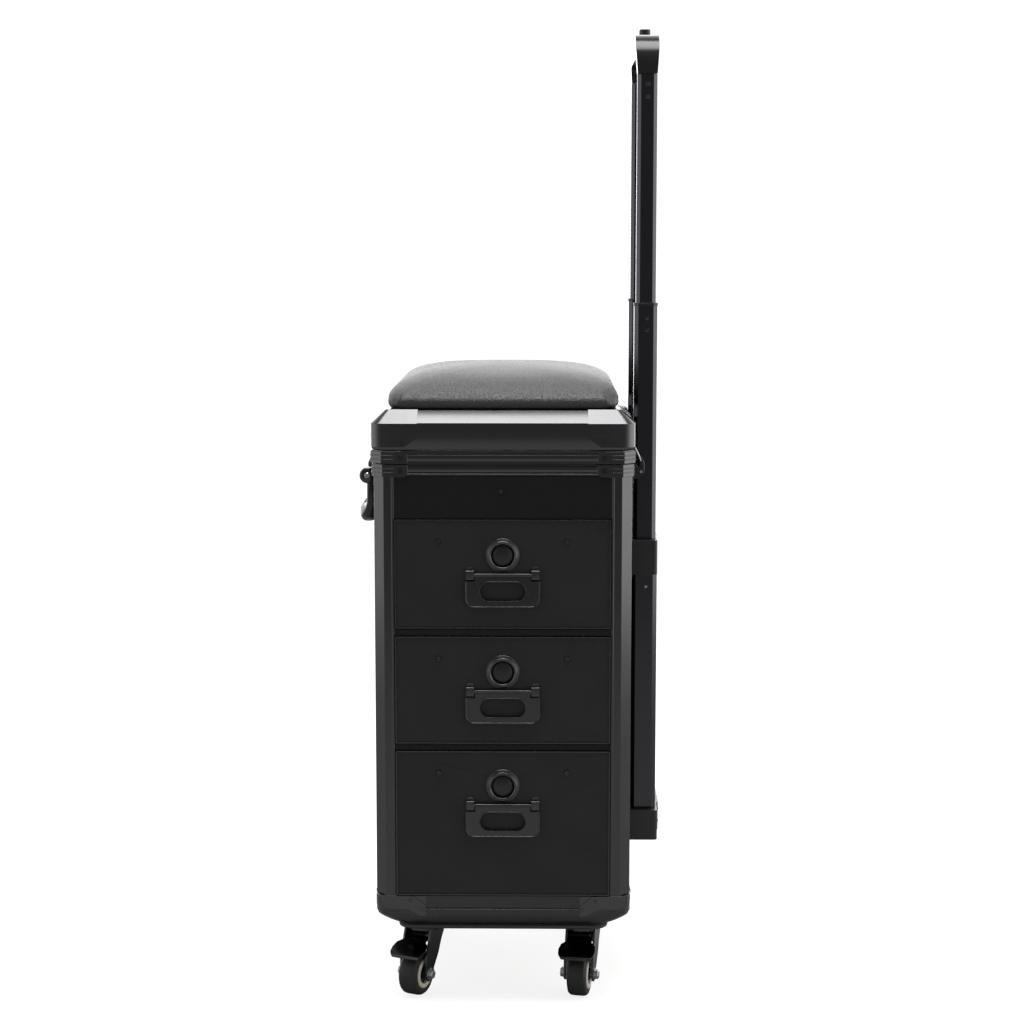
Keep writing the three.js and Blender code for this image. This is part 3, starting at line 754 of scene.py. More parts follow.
def make_base_corners():
    """Ball corners that wrap under the base, each with a riveted triangular tongue."""
    high = span("base_tray")[1].z
    bend_at, reach, bend_steps = 27, 55.5, 8
    at_end = [(-0.8, high), (-0.9, 113), (-1.9, 108.6), (-1.9, 106.8), (-1.8, 105.4), (-1.6, 104.2),
              (-1.3, 103.2)]
    at_bend = [(-0.8, high), (-0.8, 114), (0.2, 108.4), (2.6, 103), (6.4, 98.6), (11, 95), (17, 92)]
    radii = [14, 15, 18, 20, 20, 18, 14]
    straight = [reach, 50, 44, 38, 32, bend_at]
    spots = []
    for name, sign, rear in CORNERS:
        grids = []
        for thickness in (0, 1.3):
            grid = []
            for (inset_end, z_end), (inset_bend, z_bend), radius in zip(at_end, at_bend, radii):
                front = []
                for u in straight:
                    near = eased((50 - u) / (50 - bend_at))
                    front.append((u, inset_end + (inset_bend - inset_end) * near + thickness,
                                  z_end + (z_bend - z_end) * near + thickness * 0.4))
                centre = inset_bend + radius
                inner = radius - thickness
                bend = [(centre - inner * math.sin(math.pi / 2 * i / bend_steps),
                         centre - inner * math.cos(math.pi / 2 * i / bend_steps), z_bend + thickness * 0.4)
                        for i in range(bend_steps + 1)]
                side = [(v, u, z) for u, v, z in reversed(front)]
                grid.append([at_corner(*point, sign, rear) for point in front + bend + side])
            grids.append(grid)
        triangle = [(30, 113.4), (54, 113.4), (55.5, 115), (41.5, high - 0.4), (36, high - 0.4)]
        piece(f"base_corner_{name}", [shell(*grids), *tongue(triangle, -0.7, 1.2, sign, rear)],
              "corner_steel", "case", edge=0.35)
        spots += on_two_faces(38, 121.6, 1.4, sign, rear)
    fasteners("base_corner_rivets", spots, "case", radius=2.4)


# ---------------------------------------------------------------- extruded frame

def make_posts():
    """Corner extrusions: two legs, a flat chamfer between them and a lip over each board."""
    low, high = span("corner_post_front_left")[0].z, span("corner_post_front_left")[1].z
    leg, wall, lip = 21.5, 4.5, 0.5
    inner = CUT + 1
    section = [(leg, -lip), (leg + 0.6, 0.2), (leg, wall), (inner, wall), (wall, inner), (wall, leg),
               (0.2, leg + 0.6), (-lip, leg), (-lip, leg - 1.6), (0, leg - 2.2), (0, CUT), (CUT, 0),
               (leg - 2.2, 0), (leg - 1.6, -lip)]
    for name, sign, rear in CORNERS:
        post = loft([[at_corner(u, v, z, sign, rear) for u, v in section] for z in (low, high)])
        piece(f"post_{name}", post, "post", "case", replaces=[f"corner_post_{name}"], edge=0.4)


def make_rims():
    """The two tongue-and-groove rims that meet at the split, and the frame that carries the lid."""
    low, high = span("body_rim")[0].z, span("body_rim")[1].z
    case_rim = [(-5.6, low), (0.2, low), (0.9, low + 0.7), (0.9, low + 1.9), (0.2, low + 2.6),
                (-0.5, low + 3.2), (0.2, low + 3.9), (1.0, low + 5.4), (1.2, low + 7.2), (1.0, low + 9),
                (0.2, low + 10.4), (-0.8, low + 10.9), (-0.8, high), (-5.6, high)]
    piece("case_rim", rim(case_rim), "rim", "case", replaces=["body_rim"], edge=0.2)
    low, high = span("lid_rim")[0].z, span("lid_rim")[1].z
    lid_rim = [(-5.6, low), (1.2, low), (1.2, low + 2.2), (2.2, low + 2.8), (2.9, low + 4.3),
               (3.1, low + 6.1), (2.9, low + 7.9), (2.2, low + 9.4), (1.4, low + 10), (1.4, low + 11.2),
               (2.5, low + 11.9), (2.5, low + 13.2), (1.9, high - 0.4), (-5.6, high - 0.4)]
    low, high = span("lid_frame")[0].z, span("lid_frame")[1].z
    shoulder = high - BEVEL_RISE
    catches = []
    for y in (50, DEPTH - 50):
        catches.append(block((HALF_X + 1, y - 9, 609), (HALF_X + 3.4, y + 9, 617), 0.8))
    piece("lid_lower_rim", [rim(lid_rim), *catches], "rim", "lid", replaces=["lid_rim"], edge=0.2)
    lid_frame = [(1.8, low), (2, low + 0.4), (2, shoulder - 0.8), (1.6, shoulder + 0.5), (-12.2, high - 0.5),
                 (-13.2, high), (-17.6, high), (-17.6, high - 1.4), (-13.4, high - 1.4), (-3.4, shoulder),
                 (-3.4, low)]
    piece("lid_bevel_frame", rim(lid_frame), "rim", "lid", replaces=["lid_frame"], edge=0.25)


def make_base():
    """Base extrusion: a flat band, then a rail that curves under to the lip of the bottom board."""
    high, low = span("base_tray")[1].z, span("base_tray")[0].z
    rows = [(-6, -6, high, 8), (0, 0, high, 11), (0, 0, 113, 12), (-0.7, -0.7, 112.5, 13),
            (-0.7, -0.7, 111.7, 14), (0.4, 0.4, 111, 16), (1, 1, 108.8, 20), (1, 1, 105.4, 23),
            (0.2, 0.2, 102.6, 25), (-2.2, -1.2, 99.6, 27), (-6.4, -3, 96.8, 28), (-12, -5, 94.4, 26),
            (-18.5, -7, 92.5, 22), (-22.6, -8.4, 91.4, 19), (-23.4, -8.4, 90.9, 18),
            (-23.6, -7.6, 90.3, 17), (-23.6, -7.6, 87.4, 17), (-25, -9, low, 15), (-60, -60, low, 10),
            (-60, -60, 92, 10), (-24, -14, 99, 20), (-6, -6, 108, 16)]
    tray = loft([plan(grow_x, grow_y, z, corner, 4) for grow_x, grow_y, z, corner in rows], looped=True)
    floor = prism(rounded(-82, 58, 82, DEPTH - 58, 4), low + 0.2, low + 5, "z")
    piece("base_rail_and_board", [tray, floor], "rail_steel", "case", replaces=["base_tray"], edge=0.2)


make_lid_corners()
make_rim_brackets()
make_base_corners()
make_posts()
make_rims()
make_base()

# ---------------------------------------------------------------- drawers

FRONT_RIVET = {"radius": 3.0, "height": 1.9, "finish": "zinc_black"}


def make_drawer_front(name):
    """Covered front board with eased edges, bored for the lock."""
    low, high = span(f"drawer_front_{name}")
    button_low, button_high = span(f"lock_button_{name}")
    lock_z = (button_low.z + button_high.z) / 2
    thick = span("front_fascia")[1].y
    bore = arc(0, lock_z, 12.9, 0, 360, 40)[:-1]
    board = prism(rounded(low.x, low.z, high.x, high.z, 1.2, 2), 0, thick, "y", holes=[bore])
    body = f"drawer_{name}"
    piece(f"front_board_{name}", board, "vinyl", body, replaces=[f"drawer_front_{name}"], edge=1.3,
          segments=3)
    inner = rounded(low.x + 1.2, low.z + 1.2, high.x - 1.2, high.z - 1.2, 0.6, 2)
    outer = rounded(low.x - 0.15, low.z - 0.15, high.x + 0.15, high.z + 0.15, 1.3, 3)
    edging = prism(outer, -1.3, 0.6, "y", holes=[inner])
    piece(f"front_edging_{name}", edging, "zinc_black", body, edge=0.55, segments=1)
    spots = [((side * 70, -0.1, high.z - 24), (0, -1, 0)) for side in (-1, 1)]
    fasteners(f"front_rivets_{name}", spots, body, **FRONT_RIVET)
    return body, lock_z, high.z


def make_lock(name, body, z):
    """Push-button lock: a turned bezel and a dished button that slides inside it."""
    centre = (0, 0, z)
    bezel = [(12.55, 1.5), (12.55, -3.4), (12.8, -4.4), (13.5, -5.1), (14.4, -5.4), (15.3, -5.1),
             (16, -4.4), (16.3, -3.4), (16.4, -1.9), (17, -1.5), (18.1, -1.3), (18.6, -0.7), (18.4, 0.2),
             (14, 0.2), (14, 1.5)]
    piece(f"lock_bezel_{name}", lathe(bezel, centre, "y", 72, looped=True), "zinc_black", body)
    button = [(0, -3.6), (4, -3.5), (7.5, -3.1), (10, -2.4), (11.3, -1.7), (11.9, -1.0), (12.0, -0.2),
              (12.0, 1.9), (0, 1.9)]
    piece(f"lock_push_{name}", lathe(button, centre, "y", 64), "button", f"lock_{name}",
          replaces=[f"lock_button_{name}"])


def make_pull(name, body, top):
    """Flap pull: two rolled knuckles on the front, and a pressed flap with a rimmed finger slot."""
    z = top - 56
    half, neck = 40, 30.2
    knuckles = []
    for side in (-1, 1):
        inner, outer = sorted((side * 31.2, side * 40))
        knuckles.append(prism(rounded(-6, z - 9.6, -0.2, z + 1.2, 1.9, 5), inner, outer, "x"))
        knuckles.append(prism(rounded(-3, z - 13.5, -0.1, z - 10.2, 1.0, 3), inner, outer, "x"))
        knuckles.append(prism(rounded(inner + 0.6, z - 4, outer - 0.6, z + 4.6, 1.4, 4), -1.1, -0.1, "y"))
    piece(f"pull_knuckles_{name}", knuckles, "zinc_black", body, edge=0.6, segments=1)
    pin = wire([(x, -3.6, z - 4.6) for x in (-neck - 1, 0, neck + 1)], 1.7, 14)
    foot, ear, corner = z - 39, z - 11, 9
    outline = [(-neck, z - 3.4), (-neck, ear)]
    outline += [(-half + 1, ear), (-half, ear - 1)] + arc(-half + corner, foot + corner, corner, 180, 270)
    outline += arc(half - corner, foot + corner, corner, 270, 360) + [(half, ear - 1), (half - 1, ear)]
    outline += [(neck, ear), (neck, z - 3.4)]
    slot = rounded(-24.5, z - 32, 24.5, z - 12, 9.9, 8)
    plate = prism(outline, -4.6, -2.6, "y", holes=[slot])
    lip_rows = []
    for grow, y in ((0, -2.6), (0, -4.8), (0.4, -5.6), (1.0, -5.6), (1.5, -4.7), (1.5, -2.6)):
        lip = rounded(-24.5 - grow, z - 32 - grow, 24.5 + grow, z - 12 + grow, 9.9 + grow, 8)
        lip_rows.append([(x, y, height) for x, height in lip])
    roll = prism(rounded(-5.5, z - 5.7, -2.0, z - 2.2, 1.7, 6), -neck, neck, "x")
    bead = wire([(x, -4.7, height) for x, height in outline[2:-2]], 0.75, 10)
    piece(f"pull_rims_{name}", [loft(lip_rows, looped=True), bead], "zinc_black", f"pull_{name}", edge=0.2)
    piece(f"pull_flap_{name}", [plate, roll, pin], "hardware", f"pull_{name}",
          replaces=[f"drawer_pull_{name}"], edge=0.5, segments=1)


SHEET = 1.4


def make_runners(name, body):
    """Ball-bearing runners: one steel channel on the case and one on the drawer box at each side."""
    low, high = span(f"drawer_box_{name}")
    middle = (low.z + high.z) / 2
    for side_name, sign in SIDES:
        for part, owner, inner, outer, half in (("inner", body, 0.4, 5, 9), ("outer", "case", 6, 14, 11.5)):
            x0, x1 = high.x + inner, high.x + outer
            z0, z1 = middle - half, middle + half
            web = [(x0, z0), (x1, z0), (x1, z1), (x0, z1), (x0, z1 - SHEET), (x1 - SHEET, z1 - SHEET),
                   (x1 - SHEET, z0 + SHEET), (x0, z0 + SHEET)]
            if part == "inner":
                web = [(x0 + x1 - x, z) for x, z in web]
            channel = prism([(sign * x, z) for x, z in web], low.y + 8, high.y - 4, "y")
            piece(f"runner_{part}_{name}_{side_name}", channel, "zinc", owner, edge=0.3)


for drawer in DRAWERS:
    drawer_body, lock_height, front_top = make_drawer_front(drawer)
    make_lock(drawer, drawer_body, lock_height)
    make_pull(drawer, drawer_body, front_top)
    make_runners(drawer, drawer_body)

fascia_low, fascia_high = span("front_fascia")
fascia_rivet_z = (fascia_low.z + fascia_high.z) / 2 + 6.5
fasteners("fascia_rivet", [((-2, -0.1, fascia_rivet_z), (0, -1, 0))], "case", **FRONT_RIVET)

# ---------------------------------------------------------------- telescopic handle

TUBE_X = (span("outer_tube_front")[0].x + span("outer_tube_front")[1].x) / 2
STAGES = {"outer": ("case", 4.8), "middle": ("handle_middle", 4.4), "inner": ("handle_top", 4.0)}


def tube_plan(low, high, chamfer, inset=0.0):
    """A tube's outline with flat chamfers, moved inwards by inset."""
    return rounded(low.x + inset, low.y + inset, high.x - inset, high.y - inset,
                   chamfer - inset * CUT_LOSS, 1)


def make_tubes():
    """Two sets of three nested tubes with flat chamfers, a collar bush at each upper mouth, and rivets."""
    for end, rear in ENDS:
        facing = (0, 1 if rear else -1, 0)
        for stage, (body, chamfer) in STAGES.items():
            node = f"{stage}_tube_{end}"
            low, high = span(node)
            bore = tube_plan(low, high, chamfer, SHEET)
            made = prism(tube_plan(low, high, chamfer), low.z, high.z, "z", holes=[bore])
            piece(f"{stage}_handle_tube_{end}", made, "tube", body, replaces=[node], edge=0.45)
        low, high = span(f"middle_tube_{end}")
        mouth_low, mouth_high = span(f"inner_tube_{end}")
        mouth = tube_plan(mouth_low, mouth_high, 4.0, -0.25)
        lip = prism(tube_plan(low, high, 4.4, -0.5), high.z - 2.6, high.z + 0.8, "z", holes=[mouth])
        piece(f"collar_bush_{end}", lip, "abs", "handle_middle", edge=0.35)
        face = mouth_high.y if rear else mouth_low.y
        outer_face = high.y if rear else low.y
        fasteners(f"top_tube_rivets_{end}", [((TUBE_X + 0.5, face, z), facing) for z in (1015, 1001)],
                  "handle_top", radius=2.6, height=0.22, dimple=0.7, finish="zinc_black")
        fasteners(f"middle_tube_rivets_{end}", [((TUBE_X + 1, outer_face, z), facing) for z in (760, 747)],
                  "handle_middle", radius=2.5, height=0.2, dimple=0.7)
        low, high = span(f"outer_tube_{end}")
        fasteners(f"channel_screw_{end}", [((TUBE_X + 2, high.y if rear else low.y, 460), facing)], "case",
                  radius=1.9, height=0.9, finish="zinc")


def make_brackets():
    """Moulded brackets that hold the outer tubes, swollen between them, with ribs and screws."""
    for level in ("upper", "lower"):
        node = f"tube_bracket_{level}"
        low, high = span(node)
        face = max(high.x - 3, span("middle_tube_front")[1].x + 1.7)
        corner, slope = 4, (34, 46)
        outline = [(low.x, low.y), (face - corner, low.y)]
        outline += arc(face - corner, low.y + corner, corner, 270, 360, 4)
        outline += [(face, low.y + slope[0]), (high.x, low.y + slope[1]), (high.x, high.y - slope[1])]
        outline += [(face, high.y - slope[0])] + arc(face - corner, high.y - corner, corner, 0, 90, 4)
        outline += [(low.x, high.y)]
        holes = [tube_plan(*span(f"middle_tube_{end}"), 4.4, -0.25) for end in ("front", "rear")]
        floor = low.z + (0 if level == "upper" else 5)
        parts = [prism(outline, floor, high.z, "z", holes=holes)]
        if level == "lower":
            parts.append(prism(outline, low.z, floor + 0.01, "z"))
        ribs = [block((face - 0.5, low.y + 46, z), (high.x + 0.7, high.y - 46, z + 1.6), 0.5)
                for z in (low.z + 9, high.z - 10.6)]
        piece(f"handle_bracket_{level}", parts + ribs, "abs", "case", replaces=[node], edge=0.8)
        spots = [((high.x, y, (low.z + high.z) / 2), (1, 0, 0)) for y in (MID_Y - 30, MID_Y + 30)]
        fasteners(f"bracket_screws_{level}", spots, "case", radius=3.2, height=0.9)


def make_grip():
    """Arched grip, narrower towards its feet, with wide soft chamfers and a pocket for the button."""
    low, high = span("handle_grip")
    foot = low.z
    button_low, button_high = span("grip_button")
    shoulder = high.z - 14
    arch = [(low.y, foot), (low.y + 20, foot), (low.y + 23, foot + 8)]
    arch += arc(low.y + 34, high.z - 37, 11, 180, 90, 5)
    arch += [(y_far, z) for y_far, z in [(low.y + high.y - y, z) for y, z in reversed(arch)]]
    crown = arc(high.y - 34, high.z - 34, 34, 0, 90, 8)
    crown = [(y, z) for y, z in crown if z > shoulder - 18]
    arch += [(high.y, shoulder - 18)] + crown + [(low.y + high.y - y, z) for y, z in reversed(crown)]
    arch += [(low.y, shoulder - 18)]
    body = prism(arch, low.x, high.x, "x")
    everything = body.verts[:] + body.edges[:] + body.faces[:]
    bmesh.ops.bisect_plane(body, geom=everything, plane_co=(0, 0, shoulder), plane_no=(0, 0, 1))
    for vert in body.verts:
        drop = min(max((shoulder - vert.co.z) / (shoulder - foot), 0), 1)
        vert.co.x = TUBE_X + (vert.co.x - TUBE_X) * (1 - 0.16 * drop)
    pocket = block((button_low.x - 0.5, button_low.y - 0.5, button_low.z - 7),
                   (button_high.x + 0.5, button_high.y + 0.5, high.z + 5), 1.5)
    piece("grip_body", carved(body, pocket), "abs_gloss", "handle_top", replaces=["handle_grip"], edge=3.2,
          segments=4)
    cap = prism(rounded(button_low.x, button_low.y, button_high.x, button_high.y, 5.5, 6), button_low.z,
                button_high.z, "z")
    piece("release_button", cap, "button", "grip_button", replaces=["grip_button"], edge=1.6, segments=4)


make_tubes()
make_brackets()
make_grip()

# ---------------------------------------------------------------- lid hinge and draw latches

def make_hinge():
    """Butt hinge on the left edge: knuckles in turn on the case and the lid, a pin and two leaves."""
    low, high = span("lid_hinge")
    axis_x = -HALF_X - 5
    count = 5
    pitch = (high.y - low.y) / count
    leaves = {"case": (SPLIT_Z - 19, SPLIT_Z - 1.5, -HALF_X - 2.3, -HALF_X - 1.1),
              "lid": (SPLIT_Z + 2.2, SPLIT_Z + 15, -HALF_X - 4.8, -HALF_X - 3.6)}
    for owner, first in (("case", 0), ("lid", 1)):
        z0, z1, x0, x1 = leaves[owner]
        parts = [block((x0, low.y, z0), (x1, high.y, z1))]
        for i in range(first, count, 2):
            y0, y1 = low.y + i * pitch + 0.2, low.y + (i + 1) * pitch - 0.2
            barrel = [(1.1, 0), (2.1, 0), (2.5, 0.4), (2.5, y1 - y0 - 0.4), (2.1, y1 - y0), (1.1, y1 - y0)]
            parts.append(lathe(barrel, (axis_x, y0, SPLIT_Z), "y", 20, looped=True))
            near, far = (z1 - 1, SPLIT_Z - 1.2) if owner == "case" else (z0 + 0.5, SPLIT_Z + 1.2)
            parts.append(block((axis_x - 0.2, y0, min(near, far)), (x1, y1, max(near, far))))
        replaced = ["lid_hinge"] if owner == "case" else []
        piece(f"hinge_leaf_{owner}", parts, "hardware", owner, replaces=replaced, edge=0.25)
        spots = [((x0, y, (z0 + z1) / 2), (-1, 0, 0))
                 for y in (low.y + 12, MID_Y - 20, MID_Y + 20, high.y - 12)]
        fasteners(f"hinge_screws_{owner}", spots, owner, radius=2.6, height=0.7)
    pin = wire([(axis_x, y, SPLIT_Z) for y in (low.y - 0.8, MID_Y, high.y + 0.8)], 0.95, 12)
    heads = [lathe([(0, -0.9), (1.6, -0.7), (2.2, 0), (0, 0.1)], (axis_x, low.y - 0.4, SPLIT_Z), "y", 16),
             lathe([(0, 0.9), (1.6, 0.7), (2.2, 0), (0, -0.1)], (axis_x, high.y + 0.4, SPLIT_Z), "y", 16)]
    piece("hinge_pin", [pin, *heads], "zinc", "case")


def make_latches():
    """Draw latches: a riveted base with ears, a curved lever on a pin and the wire loop on the catch."""
    for end in ("front", "rear"):
        low, high = span(f"latch_lever_{end}")
        body_low, body_high = span(f"latch_body_{end}")
        pivot_x, pivot_z = HALF_X + 11, 594
        y0, y1 = low.y, high.y
        middle = (y0 + y1) / 2
        outline = rounded(y0 - 2, body_low.z - 1, y1 + 2, body_high.z - 1, 3, 4)
        plate = prism(outline, HALF_X + 0.9, HALF_X + 2.2, "x")
        ear = [(HALF_X + 1.5, 586), (HALF_X + 6, 586.5), (pivot_x + 2.4, 591.2)]
        ear += arc(pivot_x, pivot_z, 3.4, -40, 130, 8) + [(HALF_X + 6, 601.5), (HALF_X + 1.5, 603)]
        ears = [prism(ear, y, y + 1.2, "y") for y in (y0 - 1.8, y1 + 0.6)]
        piece(f"latch_base_{end}", [plate, *ears], "hardware", "case", replaces=[f"latch_body_{end}"],
              edge=0.3)
        spots = [((HALF_X + 2.2, middle + dy, 582.5), (1, 0, 0)) for dy in (-6, 6)]
        fasteners(f"latch_rivets_{end}", spots, "case", radius=2.2, height=0.8)
        curve = [(149.0, 590.4), (151.6, 590.2), (153.6, 592.4), (154.6, 597), (154.6, 602), (153.6, 606.6),
                 (151.4, 610.4), (148.2, 612.6)]
        rows = []
        for i, ((x, z), ahead) in enumerate(zip(curve, headings(curve))):
            inward = Vector((-ahead.y, ahead.x)) * 1.1
            half = 9.4 - 2.2 * (i / (len(curve) - 1)) ** 2
            rows.append([Vector((x, middle - half, z)), Vector((x, middle + half, z)),
                         Vector((x + inward.x, middle + half, z + inward.y)),
                         Vector((x + inward.x, middle - half, z + inward.y))])
        cheek = [(149, 591), (152, 591), (154, 597), (154, 602), (152.6, 606.5), (149.6, 604), (148.4, 598)]
        cheeks = [prism(cheek, y, y + 1.1, "y") for y in (middle - 9.4, middle + 8.3)]
        pin = wire([(pivot_x, y, pivot_z) for y in (y0 - 2.4, middle, y1 + 2.4)], 1.5, 14)
        piece(f"latch_lever_plate_{end}", [loft(rows), *cheeks], "hardware", f"latch_{end}",
              replaces=[f"latch_lever_{end}"], edge=0.3)
        loop = [(151.2, middle - 7.4, 603.5), (149.4, middle - 7.4, 609), (147, middle - 7.2, 614)]
        loop += [(145.6, middle - 6.6, 617.2), (145, middle - 4.6, 618.6), (144.8, middle, 619)]
        loop += [(x, 2 * middle - y, z) for x, y, z in reversed(loop[:-1])]
        piece(f"latch_loop_{end}", wire(loop, 1.15, 12), "zinc", f"latch_{end}")
        piece(f"latch_pin_{end}", pin, "zinc", f"latch_{end}")


make_hinge()
make_latches()

# ---------------------------------------------------------------- carry handle

def make_carry_handle():
    """Folding handle on the left side: a riveted plate, two round lugs and a thick sleeved bail."""
    low = span("carry_handle")[0]
    mount_low, mount_high = span("carry_handle_mount")
    pivot_x, pivot_z = -HALF_X - 10, 581
    lug_x, lug_z = pivot_x - 4.6, pivot_z + 1
    plate = prism(rounded(mount_low.y, mount_low.z - 2, mount_high.y, mount_high.z + 1, 4, 4),
                  -HALF_X - 2.2, -HALF_X + 0.2, "x")
    lugs = []
    for y0, y1 in ((mount_low.y, mount_low.y + 11.6), (mount_high.y - 11.6, mount_high.y)):
        width = y1 - y0
        knob = [(0, 0), (6.6, 0), (8, 0.5), (8.9, 1.6), (9.2, 3), (9.2, width - 3), (8.9, width - 1.6),
                (8, width - 0.5), (6.6, width), (0, width)]
        lugs.append(lathe(knob, (lug_x, y0, lug_z), "y", 36))
        near, far = (pivot_x - 3, y0 + 1.2, pivot_z - 6.4), (-HALF_X - 1.4, y1 - 1.2, pivot_z + 7.6)
        lugs.append(block(near, far, 1.5))
    piece("carry_handle_lugs", [plate, *lugs], "hardware", "case", replaces=["carry_handle_mount"], edge=0.4)
    spots = [((-HALF_X - 2.2, MID_Y + along, pivot_z), (-1, 0, 0)) for along in (-44, -22, 22, 44)]
    fasteners("carry_handle_rivets", spots, "case", radius=3, height=1.2)
    caps = [((lug_x, y, lug_z), (0, facing, 0))
            for y, facing in ((mount_low.y, -1), (mount_high.y, 1))]
    fasteners("carry_handle_pivots", caps, "case", radius=3.4, height=0.9, finish="zinc")
    reach, drop = low.y + 6.2, low.z + 10.4
    bend = 22
    path = [(reach, lug_z), (reach, pivot_z - 8), (reach, pivot_z - 16)]
    path += [(y, z) for y, z in arc(reach + bend, drop + bend, bend, 180, 270, 8)][1:]
    path += [(reach + bend + (MID_Y - reach - bend) * i / 4, drop) for i in range(1, 4)]
    path += [(MID_Y, drop)] + [(2 * MID_Y - y, z) for y, z in reversed(path)]
    rows = []
    sides = 28
    for (y, z), ahead in zip(path, headings(path)):
        across = Vector((0, -ahead.y, ahead.x))
        fat = 1 - eased((abs(y - MID_Y) - 34) / 16)
        half_x, half_n = 5.2 + 3.4 * fat, 5.0 + 5.0 * fat
        centre = Vector((pivot_x - 1.2 - 5.0 * fat, y, z))
        row = []
        for k in range(sides):
            turn = TAU * k / sides
            reached = squared(turn)
            row.append(centre + Vector((half_x * math.cos(turn) * reached, 0, 0))
                       + across * half_n * math.sin(turn) * reached)
        rows.append(row)
    piece("carry_handle_bail", loft(rows), "abs_gloss", "carry_handle", replaces=["carry_handle"])
    turns = [TAU * k / 24 for k in range(24)]
    outline = [(pivot_x - 6.2 + 9.3 * math.cos(turn) * squared(turn),
                drop + 10.7 * math.sin(turn) * squared(turn)) for turn in turns]
    ridges = []
    for i in range(9):
        y = MID_Y - 28 + 7 * i
        ridges.append(prism(outline, y - 1.6, y + 1.6, "y"))
    piece("carry_handle_grip_ribs", ridges, "grip_rubber", "carry_handle", edge=0.7)


make_carry_handle()

# ---------------------------------------------------------------- casters

def turn_of(name):
    """Swivel centre and turn of one caster, from its joints."""
    joints = {joint["name"]: joint for joint in frame["joints"]}
    centre = TO_CASE @ Vector(joints[f"swivel_{name}"]["pos_m"])
    axle = joints[f"axle_{name}"]["axis"]
    return centre, math.degrees(math.atan2(axle[1], axle[0]))


